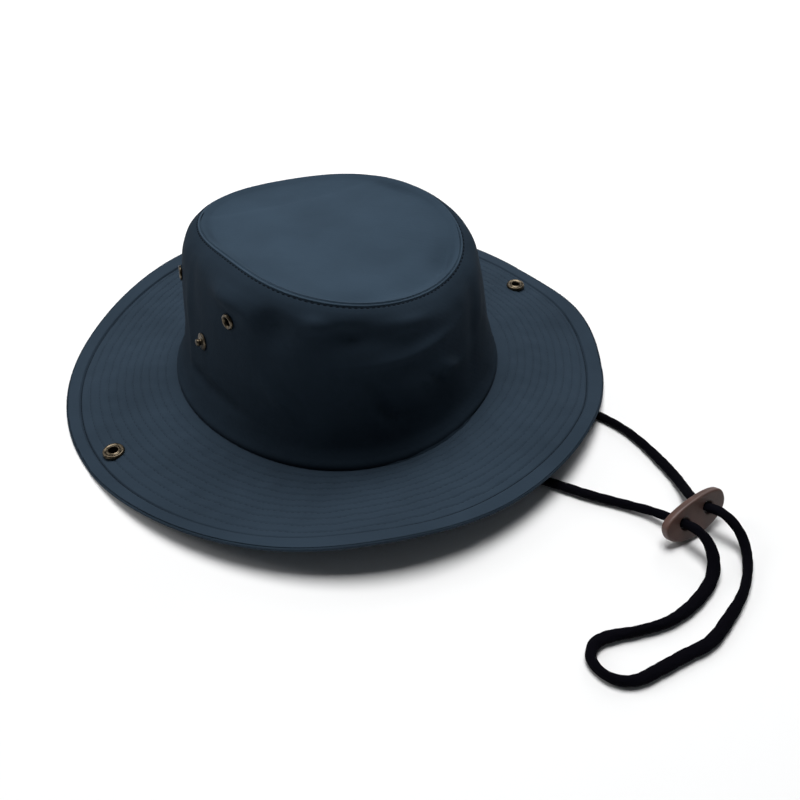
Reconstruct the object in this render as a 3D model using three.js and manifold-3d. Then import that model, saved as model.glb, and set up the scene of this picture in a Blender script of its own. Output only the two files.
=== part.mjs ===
// Bush hat: a stitched cloth hat with a tip, a side wall and a wide soft brim,
// brim snaps, vent eyelets and a chin cord with a two-hole slider.
// Millimetres, +Z up. The brim rests on Z = 0, its outline is centred on X = Y = 0,
// the front of the hat faces -Y and the snaps lie on the X axis.

import * as THREE from 'three';
import { mergeVertices } from 'three/addons/utils/BufferGeometryUtils.js';
import Module from 'manifold-3d';

const wasm = await Module();
wasm.setup();

// Driving sizes
const headHalfAcross = 89.4; // crown at the brim, middle to side
const headHalfAlong = 95.0; // crown at the brim, middle to front
const tipHalfAcross = 65.0; // tip seam, middle to side
const tipHalfAlong = 71.2; // tip seam, middle to front
const crownHeight = 78.4; // from the brim's top face to the tip seam
const brimWidth = 61.2; // measured along the cloth, from crown to edge
const brimThickness = 1.6;
const brimFootHeight = 5.7; // underside of the brim below the crown's wall
const brimLift = 17.4; // highest point of the brim's wavy edge
const brimArch = 3.0; // most that the brim bows up between crown and edge
const brimTuck = 4.5; // brim cloth that runs in under the crown's wall
const hemWidth = 8.0;
const hemFold = 0.5; // extra thickness of the turned hem
const wallThickness = 1.6;
const tipThickness = 1.6;
const tipSag = 3.2; // the tip hangs below its seam in the middle
const seamStep = 0.9; // the seam ridge stands above the tip
const seat = 0.3; // gap between two pieces that lie on each other

// Fittings
const socketRadius = 6.3;
const socketHeight = 2.3;
const socketMouth = 2.5;
const socketFromEdgeLeft = 15.0;
const socketFromEdgeRight = 20.6;
const socketTurnLeft = 181.3; // degrees round the hat
const socketTurnRight = -1.6;
const backRadius = 5.4; // closing disc of a snap, on the far side of the cloth
const backHeight = 0.9;
const postRadius = 1.9; // joins the two halves of a snap through the cloth
const studRadius = 4.6;
const studBall = 2.0;
const studHeight = 3.2;
const studRise = 0.48; // share of the wall's height
const eyeletRadius = 4.2;
const eyeletBore = 1.9;
const eyeletBarrel = 2.5;
const eyeletHeight = 1.2;
const eyeletFrontRise = 0.752; // shares of the wall's height
const eyeletBackRise = 0.715;
const eyeletFrontTurn = 17.5; // degrees to each side of the stud
const eyeletBackTurn = 28;
const fittingSeat = 0.45; // clearance between metal and cloth

// Chin cord and slider
const cordRadius = 2.5;
const sliderLength = 37.4;
const sliderWidth = 20.2;
const sliderThickness = 4.4;
const sliderHoleSpacing = 15.2;
const sliderHoleClearance = 0.8;
const sliderBevel = 0.9;
const sliderMiddle = new THREE.Vector3(68.4, -204.3, 10.0);
const sliderLongAxis = new THREE.Vector3(0.992, -0.003, 0.129);
const sliderFaceAxis = new THREE.Vector3(-0.059, -0.902, 0.43);

// Mesh steps
const turnSteps = 68;
const latheSteps = 12;
const sliderSteps = 24;
const cordSides = 8;
const cordSteps = 76;

// Waves of an oval: how many round it, and their shares of its radius
const headWaves = [
  { count: 2, cosine: 0.003, sine: 0.007 },
  { count: 3, cosine: 0.009, sine: -0.011 },
  { count: 4, cosine: 0.004, sine: -0.013 },
];
const tipWaves = [
  { count: 2, cosine: -0.017, sine: 0.006 },
  { count: 3, cosine: 0.033, sine: -0.004 },
  { count: 4, cosine: -0.032, sine: -0.006 },
];
// Waves of the tip seam's height, as shares of the crown's height
const tipHeightWaves = [
  { count: 1, cosine: -0.052, sine: -0.008 },
  { count: 2, cosine: 0.045, sine: 0.032 },
  { count: 3, cosine: 0.02, sine: -0.012 },
];

// Height of the brim's edge round the hat, as a share of brimLift.
// Below zero the soft edge lies flat on what it rests on.
const brimEdge = [
  { turn: 0, lift: -0.03 },
  { turn: 30, lift: 0.07 },
  { turn: 60, lift: -0.1 },
  { turn: 97, lift: 0.25 },
  { turn: 135, lift: 0.02 },
  { turn: 158, lift: -0.01 },
  { turn: 173, lift: -0.07 },
  { turn: 186, lift: 0.05 },
  { turn: 198, lift: 0.3 },
  { turn: 210, lift: 0.49 },
  { turn: 225, lift: 0.71 },
  { turn: 247, lift: 1.0 },
  { turn: 270, lift: 0.805 },
  { turn: 287, lift: 0.675 },
  { turn: 300, lift: 0.51 },
  { turn: 315, lift: 0.1 },
  { turn: 337, lift: -0.11 },
];

// How much wider the brim is pulled than brimWidth, as a share of it
const brimPull = [
  { turn: 0, more: -0.019 },
  { turn: 20, more: -0.013 },
  { turn: 50, more: 0.001 },
  { turn: 90, more: -0.006 },
  { turn: 130, more: -0.006 },
  { turn: 170, more: 0.029 },
  { turn: 190, more: 0.014 },
  { turn: 220, more: 0 },
  { turn: 260, more: -0.006 },
  { turn: 300, more: -0.012 },
  { turn: 325, more: -0.009 },
  { turn: 345, more: 0.03 },
];

// How the brim bows up, as a share of brimArch; below zero it sags
const brimBow = [
  { turn: 0, bow: 0.5 },
  { turn: 45, bow: 0 },
  { turn: 90, bow: -0.65 },
  { turn: 135, bow: -0.65 },
  { turn: 180, bow: 0.5 },
  { turn: 225, bow: -0.5 },
  { turn: 270, bow: 1 },
  { turn: 315, bow: 0.33 },
];

// Section of the crown's wall: share of the height, share of the way in to the tip seam.
// An upright edge is cut straight down through the cloth.
const wallSection = [
  { rise: 0.0, inset: 0.0 },
  { rise: 0.02, inset: 0.0 },
  { rise: 0.06, inset: 0.07 },
  { rise: 0.13, inset: 0.16 },
  { rise: 0.3, inset: 0.3 },
  { rise: 0.5, inset: 0.385 },
  { rise: 0.7, inset: 0.465 },
  { rise: 0.85, inset: 0.555 },
  { rise: 0.93, inset: 0.65 },
  { rise: 0.975, inset: 0.79 },
  { rise: 0.995, inset: 0.93 },
  { rise: 1.0, inset: 1.0, upright: true },
];

// How much further in the wall's shoulder and waist lie, as shares of the way to the tip seam
const wallSlack = [
  { turn: 0, shoulder: 0.2, waist: 0 },
  { turn: 30, shoulder: 0.14, waist: 0.012 },
  { turn: 60, shoulder: 0.05, waist: 0.018 },
  { turn: 90, shoulder: 0, waist: 0.019 },
  { turn: 120, shoulder: -0.03, waist: 0.015 },
  { turn: 150, shoulder: -0.03, waist: 0 },
  { turn: 180, shoulder: -0.01, waist: -0.017 },
  { turn: 210, shoulder: -0.02, waist: -0.025 },
  { turn: 240, shoulder: -0.04, waist: -0.033 },
  { turn: 270, shoulder: -0.07, waist: -0.043 },
  { turn: 300, shoulder: -0.06, waist: -0.05 },
  { turn: 330, shoulder: 0.06, waist: -0.03 },
];

// Soft folds of the wall: place, reach to each side and up and down, depth as a share
// of the wall's thickness (below zero it bulges), and how far it leans as it rises
const wallFolds = [
  { turn: 186, rise: 0.2, wide: 15, tall: 0.05, depth: 1.3, lean: -60 },
  { turn: 203, rise: 0.9, wide: 13, tall: 0.09, depth: -0.7, lean: 0 },
  { turn: 219, rise: 0.8, wide: 6, tall: 0.1, depth: 1.1, lean: 25 },
  { turn: 230, rise: 0.9, wide: 6, tall: 0.07, depth: -0.8, lean: 0 },
  { turn: 240, rise: 0.82, wide: 6, tall: 0.1, depth: 0.9, lean: 40 },
  { turn: 253, rise: 0.35, wide: 5, tall: 0.08, depth: 1.1, lean: -45 },
  { turn: 274, rise: 0.5, wide: 12, tall: 0.07, depth: -0.9, lean: -40 },
  { turn: 300, rise: 0.6, wide: 5, tall: 0.35, depth: 0.9, lean: 10 },
  { turn: 168, rise: 0.82, wide: 6, tall: 0.25, depth: 0.7, lean: -20 },
  { turn: 75, rise: 0.5, wide: 9, tall: 0.16, depth: 1.2, lean: 50 },
  { turn: 120, rise: 0.4, wide: 8, tall: 0.14, depth: 1.1, lean: -40 },
  { turn: 30, rise: 0.35, wide: 8, tall: 0.16, depth: 1.1, lean: -35 },
];

// Sections of the brim, as shares of its width, with the hem's fold from the seam line out
const hemStart = 1 - hemWidth / brimWidth;
const brimSections = [
  { out: -brimTuck / brimWidth, hem: 0 },
  { out: 0, hem: 0 },
  { out: 0.08, hem: 0 },
  { out: 0.3, hem: 0 },
  { out: 0.58, hem: 0 },
  { out: hemStart - 0.01, hem: 0 },
  { out: hemStart + 0.01, hem: 1 },
  { out: 0.93, hem: 1 },
  { out: 0.985, hem: 1 },
  { out: 1, hem: 0.2 },
];

// Sections of the tip: share of the way from the middle to the seam, share of the sag
const tipSections = [
  { out: 1.0, sag: 0, upright: true },
  { out: 0.94, sag: 0.42 },
  { out: 0.82, sag: 0.8 },
  { out: 0.55, sag: 1 },
  { out: 0.25, sag: 0.95 },
];
const tipMiddleSag = 0.9;

// Route of the chin cord's middle line, from near the wall's left inside to its right inside
const cordEndHeight = 13.0;
const cordRoute = [
  [-77.1, -1.2, 11.4],
  [-68.6, -4.8, 6.8],
  [-59.6, -11.8, 3.4],
  [-49.1, -22.8, 2.6],
  [-36.1, -42.8, 2.6],
  [-19.1, -67.8, 2.6],
  [-1.6, -93.8, 2.6],
  [15.9, -119.8, 2.6],
  [32.8, -145.1, 2.6],
  [43.4, -163.3, 2.6],
  [52.9, -177.8, 2.8],
  [58.9, -189.3, 4.2],
  [61.1, -201.6, 7.7],
  [60.7, -207.0, 10.3],
  [60.9, -212.8, 11.5],
  [60.9, -218.8, 10.1],
  [59.1, -224.4, 7.2],
  [55.3, -229.0, 4.3],
  [49.9, -232.2, 2.8],
  [41.4, -234.8, 2.6],
  [30.6, -236.5, 2.6],
  [18.5, -236.2, 2.6],
  [5.4, -232.4, 2.6],
  [-7.7, -227.0, 2.6],
  [-14.9, -226.4, 2.6],
  [-20.7, -230.2, 2.6],
  [-22.1, -237.2, 2.6],
  [-19.1, -244.2, 2.6],
  [-12.5, -248.6, 2.6],
  [-2.1, -250.2, 2.6],
  [10.9, -251.6, 2.6],
  [25.6, -253.2, 2.6],
  [41.8, -249.6, 2.6],
  [56.4, -244.7, 2.6],
  [66.9, -238.7, 2.8],
  [74.3, -232.0, 4.2],
  [78.1, -225.2, 7.4],
  [78.3, -218.8, 11.1],
  [76.9, -212.8, 13.3],
  [75.7, -207.0, 12.3],
  [76.1, -201.6, 9.7],
  [78.7, -194.4, 7.2],
  [82.9, -187.3, 4.3],
  [86.5, -178.8, 2.9],
  [89.1, -167.8, 2.6],
  [91.2, -152.8, 2.6],
  [91.3, -137.8, 2.6],
  [87.2, -120.8, 2.6],
  [77.9, -104.8, 2.6],
  [66.9, -90.8, 2.6],
  [57.4, -74.8, 2.6],
  [53.4, -56.8, 2.6],
  [54.9, -39.8, 2.6],
  [60.4, -25.3, 3.4],
  [66.9, -13.3, 6.6],
  [75.4, -4.3, 11.0],
].map(([x, y, z]) => new THREE.Vector3(x, y, z));

// Materials
function finish(color, roughness, metalness = 0) {
  return new THREE.MeshStandardMaterial({ color, roughness, metalness });
}
const twill = finish(0x334250, 0.85);
const brass = finish(0x9a7b52, 0.4, 0.9);
const braid = finish(0x101014, 0.8);
const horn = finish(0x5b4541, 0.55);

// Sum of the waves of a table at an angle
function waves(table, angle) {
  let sum = 0;
  for (const { count, cosine, sine } of table) {
    sum += cosine * Math.cos(count * angle) + sine * Math.sin(count * angle);
  }
  return sum;
}

// Smooth value between the rows of a table, sorted by key; a period closes it on itself
function between(table, key, name, at, period = 0) {
  const count = table.length;
  const place = (index) => {
    if (!period) return table[Math.min(Math.max(index, 0), count - 1)];
    return table[((index % count) + count) % count];
  };
  const keyOf = (index) => {
    if (!period) return place(index)[key];
    return place(index)[key] + period * Math.floor(index / count);
  };
  const spot = period ? ((at % period) + period) % period : at;
  let low = 0;
  while (low < count - (period ? 1 : 2) && spot >= keyOf(low + 1)) low += 1;
  const slope = (index) => {
    const run = keyOf(index + 1) - keyOf(index - 1);
    return run ? (place(index + 1)[name] - place(index - 1)[name]) / run : 0;
  };
  const span = keyOf(low + 1) - keyOf(low);
  const share = (spot - keyOf(low)) / span;
  const cube = share ** 3;
  const square = share ** 2;
  return (
    (2 * cube - 3 * square + 1) * place(low)[name] +
    (cube - 2 * square + share) * span * slope(low) +
    (3 * square - 2 * cube) * place(low + 1)[name] +
    (cube - square) * span * slope(low + 1)
  );
}

// Crown's outline where it meets the brim
function headPoint(angle) {
  const swell = 1 + waves(headWaves, angle);
  return new THREE.Vector2(
    headHalfAcross * Math.cos(angle) * swell,
    headHalfAlong * Math.sin(angle) * swell,
  );
}

function headOutward(angle) {
  const x = Math.cos(angle) / headHalfAcross;
  const y = Math.sin(angle) / headHalfAlong;
  return new THREE.Vector2(x, y).normalize();
}

const brimTopAtCrown = brimFootHeight + brimThickness;
const wallFoot = brimTopAtCrown + seat;

// Underside of the brim at a share of its width
function brimPoint(angle, out) {
  const turn = THREE.MathUtils.radToDeg(angle);
  const edge = brimLift * between(brimEdge, 'turn', 'lift', turn, 360);
  const drop = edge - brimFootHeight;
  const width = brimWidth * (1 + between(brimPull, 'turn', 'more', turn, 360));
  const bow = 4 * brimArch * between(brimBow, 'turn', 'bow', turn, 360);
  const reach = Math.sqrt(width ** 2 - drop ** 2);
  const spot = headPoint(angle).addScaledVector(headOutward(angle), reach * out);
  const way = Math.max(out, 0);
  const z = brimFootHeight + drop * way + bow * way * (1 - way);
  return new THREE.Vector3(spot.x, spot.y, Math.max(z, 0));
}

// Tip seam round the top of the wall
function seamPoint(angle) {
  const swell = 1 + waves(tipWaves, angle);
  return new THREE.Vector3(
    tipHalfAcross * Math.cos(angle) * swell,
    tipHalfAlong * Math.sin(angle) * swell,
    wallFoot + crownHeight * (1 + waves(tipHeightWaves, angle)),
  );
}

// How far the folds press the wall in; they fade out at the wall's two edges
function foldDepth(angle, rise) {
  const turn = THREE.MathUtils.radToDeg(angle);
  let sum = 0;
  for (const fold of wallFolds) {
    const aside = turn - fold.turn - fold.lean * (rise - fold.rise);
    const off = (((aside + 540) % 360) - 180) / fold.wide;
    const up = (rise - fold.rise) / fold.tall;
    sum += fold.depth * Math.exp(-(off ** 2) - up ** 2);
  }
  return wallThickness * sum * Math.min(1, 20 * rise, 15 * (1 - rise));
}

// Outside of the crown's wall
function wallPoint(angle, rise) {
  const foot = headPoint(angle);
  const seam = seamPoint(angle);
  const turn = THREE.MathUtils.radToDeg(angle);
  const shoulder = between(wallSlack, 'turn', 'shoulder', turn, 360) * 9.48 * rise ** 3;
  const waist = between(wallSlack, 'turn', 'waist', turn, 360) * 6.75 * rise * (1 - rise);
  const inset = between(wallSection, 'rise', 'inset', rise) + (shoulder + waist) * (1 - rise);
  const spot = foot.lerp(new THREE.Vector2(seam.x, seam.y), inset);
  spot.addScaledVector(headOutward(angle), -foldDepth(angle, rise));
  return new THREE.Vector3(spot.x, spot.y, wallFoot + (seam.z - wallFoot) * rise);
}

// Top of the tip at a share of the way out to its rim, which lies inside the wall's top edge
function tipPoint(angle, out, sag) {
  const seam = seamPoint(angle);
  const rim = new THREE.Vector2(seam.x, seam.y);
  rim.setLength(rim.length() - seat);
  const z = wallFoot + crownHeight + (seam.z - wallFoot - crownHeight) * out ** 2;
  return new THREE.Vector3(rim.x * out, rim.y * out, z - seamStep - tipSag * sag);
}

// Closed sheet from rows of points round the hat. The face through the points looks along
// (round) x (next row); the other face lies a thickness behind it. A pole closes the last row.
function sheet(sections, rows, thicknesses, pole = null) {
  const last = rows.length - 1;
  const at = (row, step) => rows[row][(step + turnSteps) % turnSteps];
  const front = [];
  const back = [];
  for (let row = 0; row <= last; row += 1) {
    for (let step = 0; step < turnSteps; step += 1) {
      const round = at(row, step + 1).clone().sub(at(row, step - 1));
      const ahead = row < last ? at(row + 1, step) : (pole ?? at(row, step));
      const across = ahead.clone().sub(at(Math.max(row - 1, 0), step));
      const facing = round.cross(across).normalize();
      if (sections[row].upright) facing.set(0, 0, 1);
      front.push(at(row, step));
      back.push(at(row, step).clone().addScaledVector(facing, -thicknesses[row]));
    }
  }
  const points = [...front, ...back];
  const shift = front.length;
  const faces = [];
  const quad = (a, b, c, d) => faces.push(a, b, c, a, c, d);
  for (let step = 0; step < turnSteps; step += 1) {
    const next = (step + 1) % turnSteps;
    for (let row = 0; row < last; row += 1) {
      const low = row * turnSteps;
      const high = low + turnSteps;
      quad(low + step, low + next, high + next, high + step);
      quad(shift + low + next, shift + low + step, shift + high + step, shift + high + next);
    }
    quad(step, shift + step, shift + next, next);
    const rim = last * turnSteps;
    if (!pole) {
      quad(rim + step, rim + next, shift + rim + next, shift + rim + step);
      continue;
    }
    faces.push(rim + step, rim + next, points.length);
    faces.push(shift + rim + next, shift + rim + step, points.length + 1);
  }
  if (pole) {
    points.push(pole, pole.clone().setZ(pole.z - thicknesses[last]));
  }
  const geometry = new THREE.BufferGeometry().setFromPoints(points);
  geometry.setIndex(faces);
  return geometry;
}

// Rows of points, one row for each section, all the way round
function rowsOf(sections, point) {
  return sections.map((section) =>
    Array.from({ length: turnSteps }, (_, step) => point((step * 2 * Math.PI) / turnSteps, section)),
  );
}

function solidOf(geometry) {
  const bare = geometry.index ? geometry.toNonIndexed() : geometry.clone();
  bare.deleteAttribute('normal');
  bare.deleteAttribute('uv');
  const merged = mergeVertices(bare, 1e-4);
  return new wasm.Manifold(
    new wasm.Mesh({
      numProp: 3,
      vertProperties: new Float32Array(merged.attributes.position.array),
      triVerts: new Uint32Array(merged.index.array),
    }),
  );
}

// The geometry with each of the tools cut out of it
function cut(geometry, tools) {
  let solid = solidOf(geometry);
  for (const tool of tools) solid = solid.subtract(solidOf(tool));
  const mesh = solid.getMesh();
  const result = new THREE.BufferGeometry();
  result.setAttribute('position', new THREE.BufferAttribute(new Float32Array(mesh.vertProperties), 3));
  result.setIndex(new THREE.BufferAttribute(new Uint32Array(mesh.triVerts), 1));
  return result;
}

// Turned shape whose axis points along facing, with its origin at spot
function turned(profile, spot, facing) {
  const points = profile.map(([radius, height]) => new THREE.Vector2(radius, height));
  const geometry = new THREE.LatheGeometry(points, latheSteps);
  const turn = new THREE.Quaternion().setFromUnitVectors(new THREE.Vector3(0, 1, 0), facing);
  return geometry.applyQuaternion(turn).translate(spot.x, spot.y, spot.z);
}

// Cylinder that cuts a hole through the cloth at spot
function borer(radius, spot, facing) {
  const length = 6 * Math.max(wallThickness, brimThickness);
  const profile = [[0, -length], [radius, -length], [radius, length], [0, length]];
  return turned(profile, spot, facing);
}

// Unit vector square to a surface, given as a function of angle and a second value
function facingOf(point, angle, value) {
  const step = 0.02;
  const round = point(angle + step, value).sub(point(angle - step, value));
  const across = point(angle, value + step).sub(point(angle, value - step));
  return round.cross(across).normalize();
}

// Places of the fittings on the left and right sides of the hat
const sides = [
  { side: 'left', angle: Math.PI, toFront: 1, turn: socketTurnLeft, fromEdge: socketFromEdgeLeft },
  { side: 'right', angle: 0, toFront: -1, turn: socketTurnRight, fromEdge: socketFromEdgeRight },
];

// The wall is straight between two rows of its section, and its fittings lie on that face
function wallSpot(angle, rise) {
  const above = wallSection.findIndex((row) => row.rise > rise);
  const low = wallSection[above - 1].rise;
  const high = wallSection[above].rise;
  const face = (at, height) => {
    return wallPoint(at, low).lerp(wallPoint(at, high), (height - low) / (high - low));
  };
  return { spot: face(angle, rise), facing: facingOf(face, angle, rise) };
}

function brimSpot(angle, fromEdge) {
  const out = 1 - fromEdge / brimWidth;
  const facing = facingOf(brimPoint, angle, out).negate();
  return { spot: brimPoint(angle, out).addScaledVector(facing, brimThickness), facing };
}

const studSpots = sides.map(({ side, angle }) => ({ side, ...wallSpot(angle, studRise) }));
const socketSpots = sides.map(({ side, turn, fromEdge }) => {
  return { side, ...brimSpot(THREE.MathUtils.degToRad(turn), fromEdge) };
});
const eyeletSpots = [];
for (const { side, angle, toFront } of sides) {
  const front = angle + toFront * THREE.MathUtils.degToRad(eyeletFrontTurn);
  const back = angle - toFront * THREE.MathUtils.degToRad(eyeletBackTurn);
  eyeletSpots.push({ side, end: 'front', ...wallSpot(front, eyeletFrontRise) });
  eyeletSpots.push({ side, end: 'back', ...wallSpot(back, eyeletBackRise) });
}

// Profiles of the fittings, as radius and height; height 0 is the outer face of the cloth
function backDisc(thickness) {
  const near = -thickness - fittingSeat;
  const far = near - backHeight;
  return [
    [0, far],
    [backRadius * 0.88, far],
    [backRadius, far + backHeight * 0.5],
    [backRadius, near],
    [postRadius, near],
  ];
}

function socketProfile() {
  const top = fittingSeat + socketHeight;
  return [
    ...backDisc(brimThickness),
    [postRadius, fittingSeat],
    [socketRadius, fittingSeat],
    [socketRadius, fittingSeat + socketHeight * 0.4],
    [socketRadius * 0.84, top],
    [socketMouth * 1.35, top],
    [socketMouth, fittingSeat + socketHeight * 0.6],
    [socketMouth * 0.9, fittingSeat + socketHeight * 0.35],
    [0, fittingSeat + socketHeight * 0.35],
  ];
}

function studProfile() {
  const flange = fittingSeat + studHeight * 0.2;
  const top = fittingSeat + studHeight;
  return [
    ...backDisc(wallThickness),
    [postRadius, fittingSeat],
    [studRadius, fittingSeat],
    [studRadius, flange],
    [studBall * 1.25, flange + studHeight * 0.08],
    [studBall * 0.75, flange + studHeight * 0.2],
    [studBall, top - studHeight * 0.35],
    [studBall * 0.8, top - studHeight * 0.08],
    [0, top],
  ];
}

function eyeletProfile() {
  const near = -wallThickness - fittingSeat;
  const top = fittingSeat + eyeletHeight;
  return [
    [eyeletBore, near - eyeletHeight * 0.6],
    [eyeletRadius, near - eyeletHeight * 0.6],
    [eyeletRadius, near],
    [eyeletBarrel, near],
    [eyeletBarrel, fittingSeat],
    [eyeletRadius, fittingSeat],
    [eyeletRadius * 0.94, fittingSeat + eyeletHeight * 0.55],
    [eyeletRadius * 0.74, top],
    [eyeletBore * 1.15, fittingSeat + eyeletHeight * 0.7],
    [eyeletBore, fittingSeat],
    [eyeletBore, near - eyeletHeight * 0.6],
  ];
}

// Cloth pieces
function brimGeometry() {
  const rows = rowsOf(brimSections, (angle, { out }) => brimPoint(angle, out));
  const thicknesses = brimSections.map(({ hem }) => brimThickness + hemFold * hem);
  const whole = sheet(brimSections, rows, thicknesses);
  const holes = socketSpots.map(({ spot, facing }) => borer(postRadius + seat, spot, facing));
  return cut(whole, holes);
}

function wallGeometry() {
  const rows = rowsOf(wallSection, (angle, { rise }) => wallPoint(angle, rise));
  const whole = sheet(wallSection, rows, wallSection.map(() => wallThickness));
  const holes = [
    ...studSpots.map(({ spot, facing }) => borer(postRadius + seat, spot, facing)),
    ...eyeletSpots.map(({ spot, facing }) => borer(eyeletBarrel + seat, spot, facing)),
  ];
  return cut(whole, holes);
}

function tipGeometry() {
  const rows = rowsOf(tipSections, (angle, { out, sag }) => tipPoint(angle, out, sag));
  const middle = tipPoint(0, 0, tipMiddleSag);
  return sheet(tipSections, rows, tipSections.map(() => tipThickness), middle);
}

// Slider: a flat oval with one straighter long side and two holes
function sliderGeometry() {
  const outline = [];
  for (let step = 0; step < sliderSteps; step += 1) {
    const angle = (step * 2 * Math.PI) / sliderSteps;
    const flat = Math.sin(angle) > 0 ? 0.7 : 1;
    const y = Math.sign(Math.sin(angle)) * Math.abs(Math.sin(angle)) ** flat;
    outline.push(new THREE.Vector2(
      (sliderLength / 2 - sliderBevel) * Math.cos(angle),
      (sliderWidth / 2 - sliderBevel) * y,
    ));
  }
  const shape = new THREE.Shape(outline);
  for (const side of [-1, 1]) {
    const hole = new THREE.Path();
    const radius = cordRadius + sliderHoleClearance + sliderBevel;
    hole.absarc((side * sliderHoleSpacing) / 2, 0, radius, 0, 2 * Math.PI, true);
    shape.holes.push(hole);
  }
  const geometry = new THREE.ExtrudeGeometry(shape, {
    depth: sliderThickness - 2 * sliderBevel,
    bevelThickness: sliderBevel,
    bevelSize: sliderBevel,
    bevelSegments: 2,
    curveSegments: 5,
  });
  geometry.translate(0, 0, sliderBevel - sliderThickness / 2);
  const along = sliderLongAxis.clone().normalize();
  const out = sliderFaceAxis.clone().addScaledVector(along, -sliderFaceAxis.dot(along)).normalize();
  const up = out.clone().cross(along);
  geometry.applyMatrix4(new THREE.Matrix4().makeBasis(along, up, out));
  return geometry.translate(sliderMiddle.x, sliderMiddle.y, sliderMiddle.z);
}

// End of the cord, just off the inside of the wall
function cordEnd(angle) {
  const spot = wallPoint(angle, (cordEndHeight + cordRadius - wallFoot) / crownHeight);
  const reach = Math.abs(spot.x) - wallThickness - 2 * fittingSeat;
  return new THREE.Vector3(Math.sign(spot.x) * reach, spot.y, cordEndHeight);
}

function cordGeometry() {
  const route = [cordEnd(Math.PI), ...cordRoute, cordEnd(0)];
  const ring = new THREE.Shape();
  for (let side = 0; side < cordSides; side += 1) {
    const angle = (side * 2 * Math.PI) / cordSides;
    const x = cordRadius * Math.cos(angle);
    const y = cordRadius * Math.sin(angle);
    if (side) ring.lineTo(x, y);
    else ring.moveTo(x, y);
  }
  ring.closePath();
  return new THREE.ExtrudeGeometry(ring, {
    steps: cordSteps,
    extrudePath: new THREE.CatmullRomCurve3(route),
    bevelEnabled: false,
  });
}

function mesh(name, geometry, material) {
  const piece = new THREE.Mesh(geometry, material.clone());
  piece.name = name;
  return piece;
}

const cloth = new THREE.Group();
cloth.add(
  mesh('brim', brimGeometry(), twill),
  mesh('crown_side', wallGeometry(), twill),
  mesh('crown_tip', tipGeometry(), twill),
);

const fittings = new THREE.Group();
for (const { side, spot, facing } of socketSpots) {
  fittings.add(mesh(`brim_snap_${side}`, turned(socketProfile(), spot, facing), brass));
}
for (const { side, spot, facing } of studSpots) {
  fittings.add(mesh(`crown_stud_${side}`, turned(studProfile(), spot, facing), brass));
}
for (const { side, end, spot, facing } of eyeletSpots) {
  fittings.add(mesh(`eyelet_${side}_${end}`, turned(eyeletProfile(), spot, facing), brass));
}

const strap = new THREE.Group();
strap.add(
  mesh('chin_cord', cordGeometry(), braid),
  mesh('cord_slider', sliderGeometry(), horn),
);

// The outline of the cloth is centred over the origin, and the rest follows it
const middle = new THREE.Box3().setFromObject(cloth).getCenter(new THREE.Vector3());

const hat = new THREE.Group();
hat.add(cloth, fittings, strap);
hat.position.set(-middle.x, -middle.y, 0);

export default hat;
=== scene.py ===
"""Looks of a bush hat: stitched cloth, brass fittings, a braided chin cord and its slider.

Sizes are in millimetres where nothing else is said: +Z up, front towards -Y, snaps on X.
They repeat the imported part's sizes, and the pieces are built around that part.
"""

import logging
import math
from collections.abc import Callable, Iterable, Sequence
from dataclasses import dataclass, field
from enum import Enum

import bpy
import numpy as np
from mathutils import Matrix, Vector

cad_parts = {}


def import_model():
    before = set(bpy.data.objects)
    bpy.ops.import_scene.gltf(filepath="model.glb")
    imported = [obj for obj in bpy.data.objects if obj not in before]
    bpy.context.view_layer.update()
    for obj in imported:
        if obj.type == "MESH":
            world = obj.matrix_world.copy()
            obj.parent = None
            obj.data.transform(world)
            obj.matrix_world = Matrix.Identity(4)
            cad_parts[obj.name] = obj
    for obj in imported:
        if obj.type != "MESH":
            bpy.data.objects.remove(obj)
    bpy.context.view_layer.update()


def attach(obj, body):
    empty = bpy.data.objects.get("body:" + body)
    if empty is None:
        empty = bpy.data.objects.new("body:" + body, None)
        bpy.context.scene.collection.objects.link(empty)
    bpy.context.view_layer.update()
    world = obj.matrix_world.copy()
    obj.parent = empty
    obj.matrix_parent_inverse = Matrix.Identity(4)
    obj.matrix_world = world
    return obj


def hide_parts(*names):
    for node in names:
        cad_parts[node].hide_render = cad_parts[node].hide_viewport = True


LOG = logging.getLogger("bush_hat")
MM = 0.001
ROOT = "root"

Array = np.ndarray
PointFn = Callable[[Array, Array], Array]
Triple = tuple[float, float, float]
Tree = bpy.types.NodeTree
Node = bpy.types.Node
Profile = Sequence[tuple[float, float]]

# Waves of the crown's outlines: turns round the hat, cosine share, sine share
HEAD_WAVES = ((2, 0.003, 0.007), (3, 0.009, -0.011), (4, 0.004, -0.013))
TIP_WAVES = ((2, -0.017, 0.006), (3, 0.033, -0.004), (4, -0.032, -0.006))
TIP_HEIGHT_WAVES = ((1, -0.052, -0.008), (2, 0.045, 0.032), (3, 0.020, -0.012))

# Turn in degrees, height of the brim's edge as a share of its lift
BRIM_EDGE = (
    (0, -0.03),
    (30, 0.07),
    (60, -0.10),
    (97, 0.25),
    (135, 0.02),
    (158, -0.01),
    (173, -0.07),
    (186, 0.05),
    (198, 0.30),
    (210, 0.49),
    (225, 0.71),
    (247, 1.00),
    (270, 0.805),
    (287, 0.675),
    (300, 0.51),
    (315, 0.10),
    (337, -0.11),
)

# Turn in degrees, how much wider the brim is pulled as a share of its width
BRIM_PULL = (
    (0, -0.019),
    (20, -0.013),
    (50, 0.001),
    (90, -0.006),
    (130, -0.006),
    (170, 0.029),
    (190, 0.014),
    (220, 0.0),
    (260, -0.006),
    (300, -0.012),
    (325, -0.009),
    (345, 0.030),
)

# Turn in degrees, how the brim bows up as a share of its arch
BRIM_BOW = (
    (0, 0.5),
    (45, 0.0),
    (90, -0.65),
    (135, -0.65),
    (180, 0.5),
    (225, -0.5),
    (270, 1.0),
    (315, 0.33),
)

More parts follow.
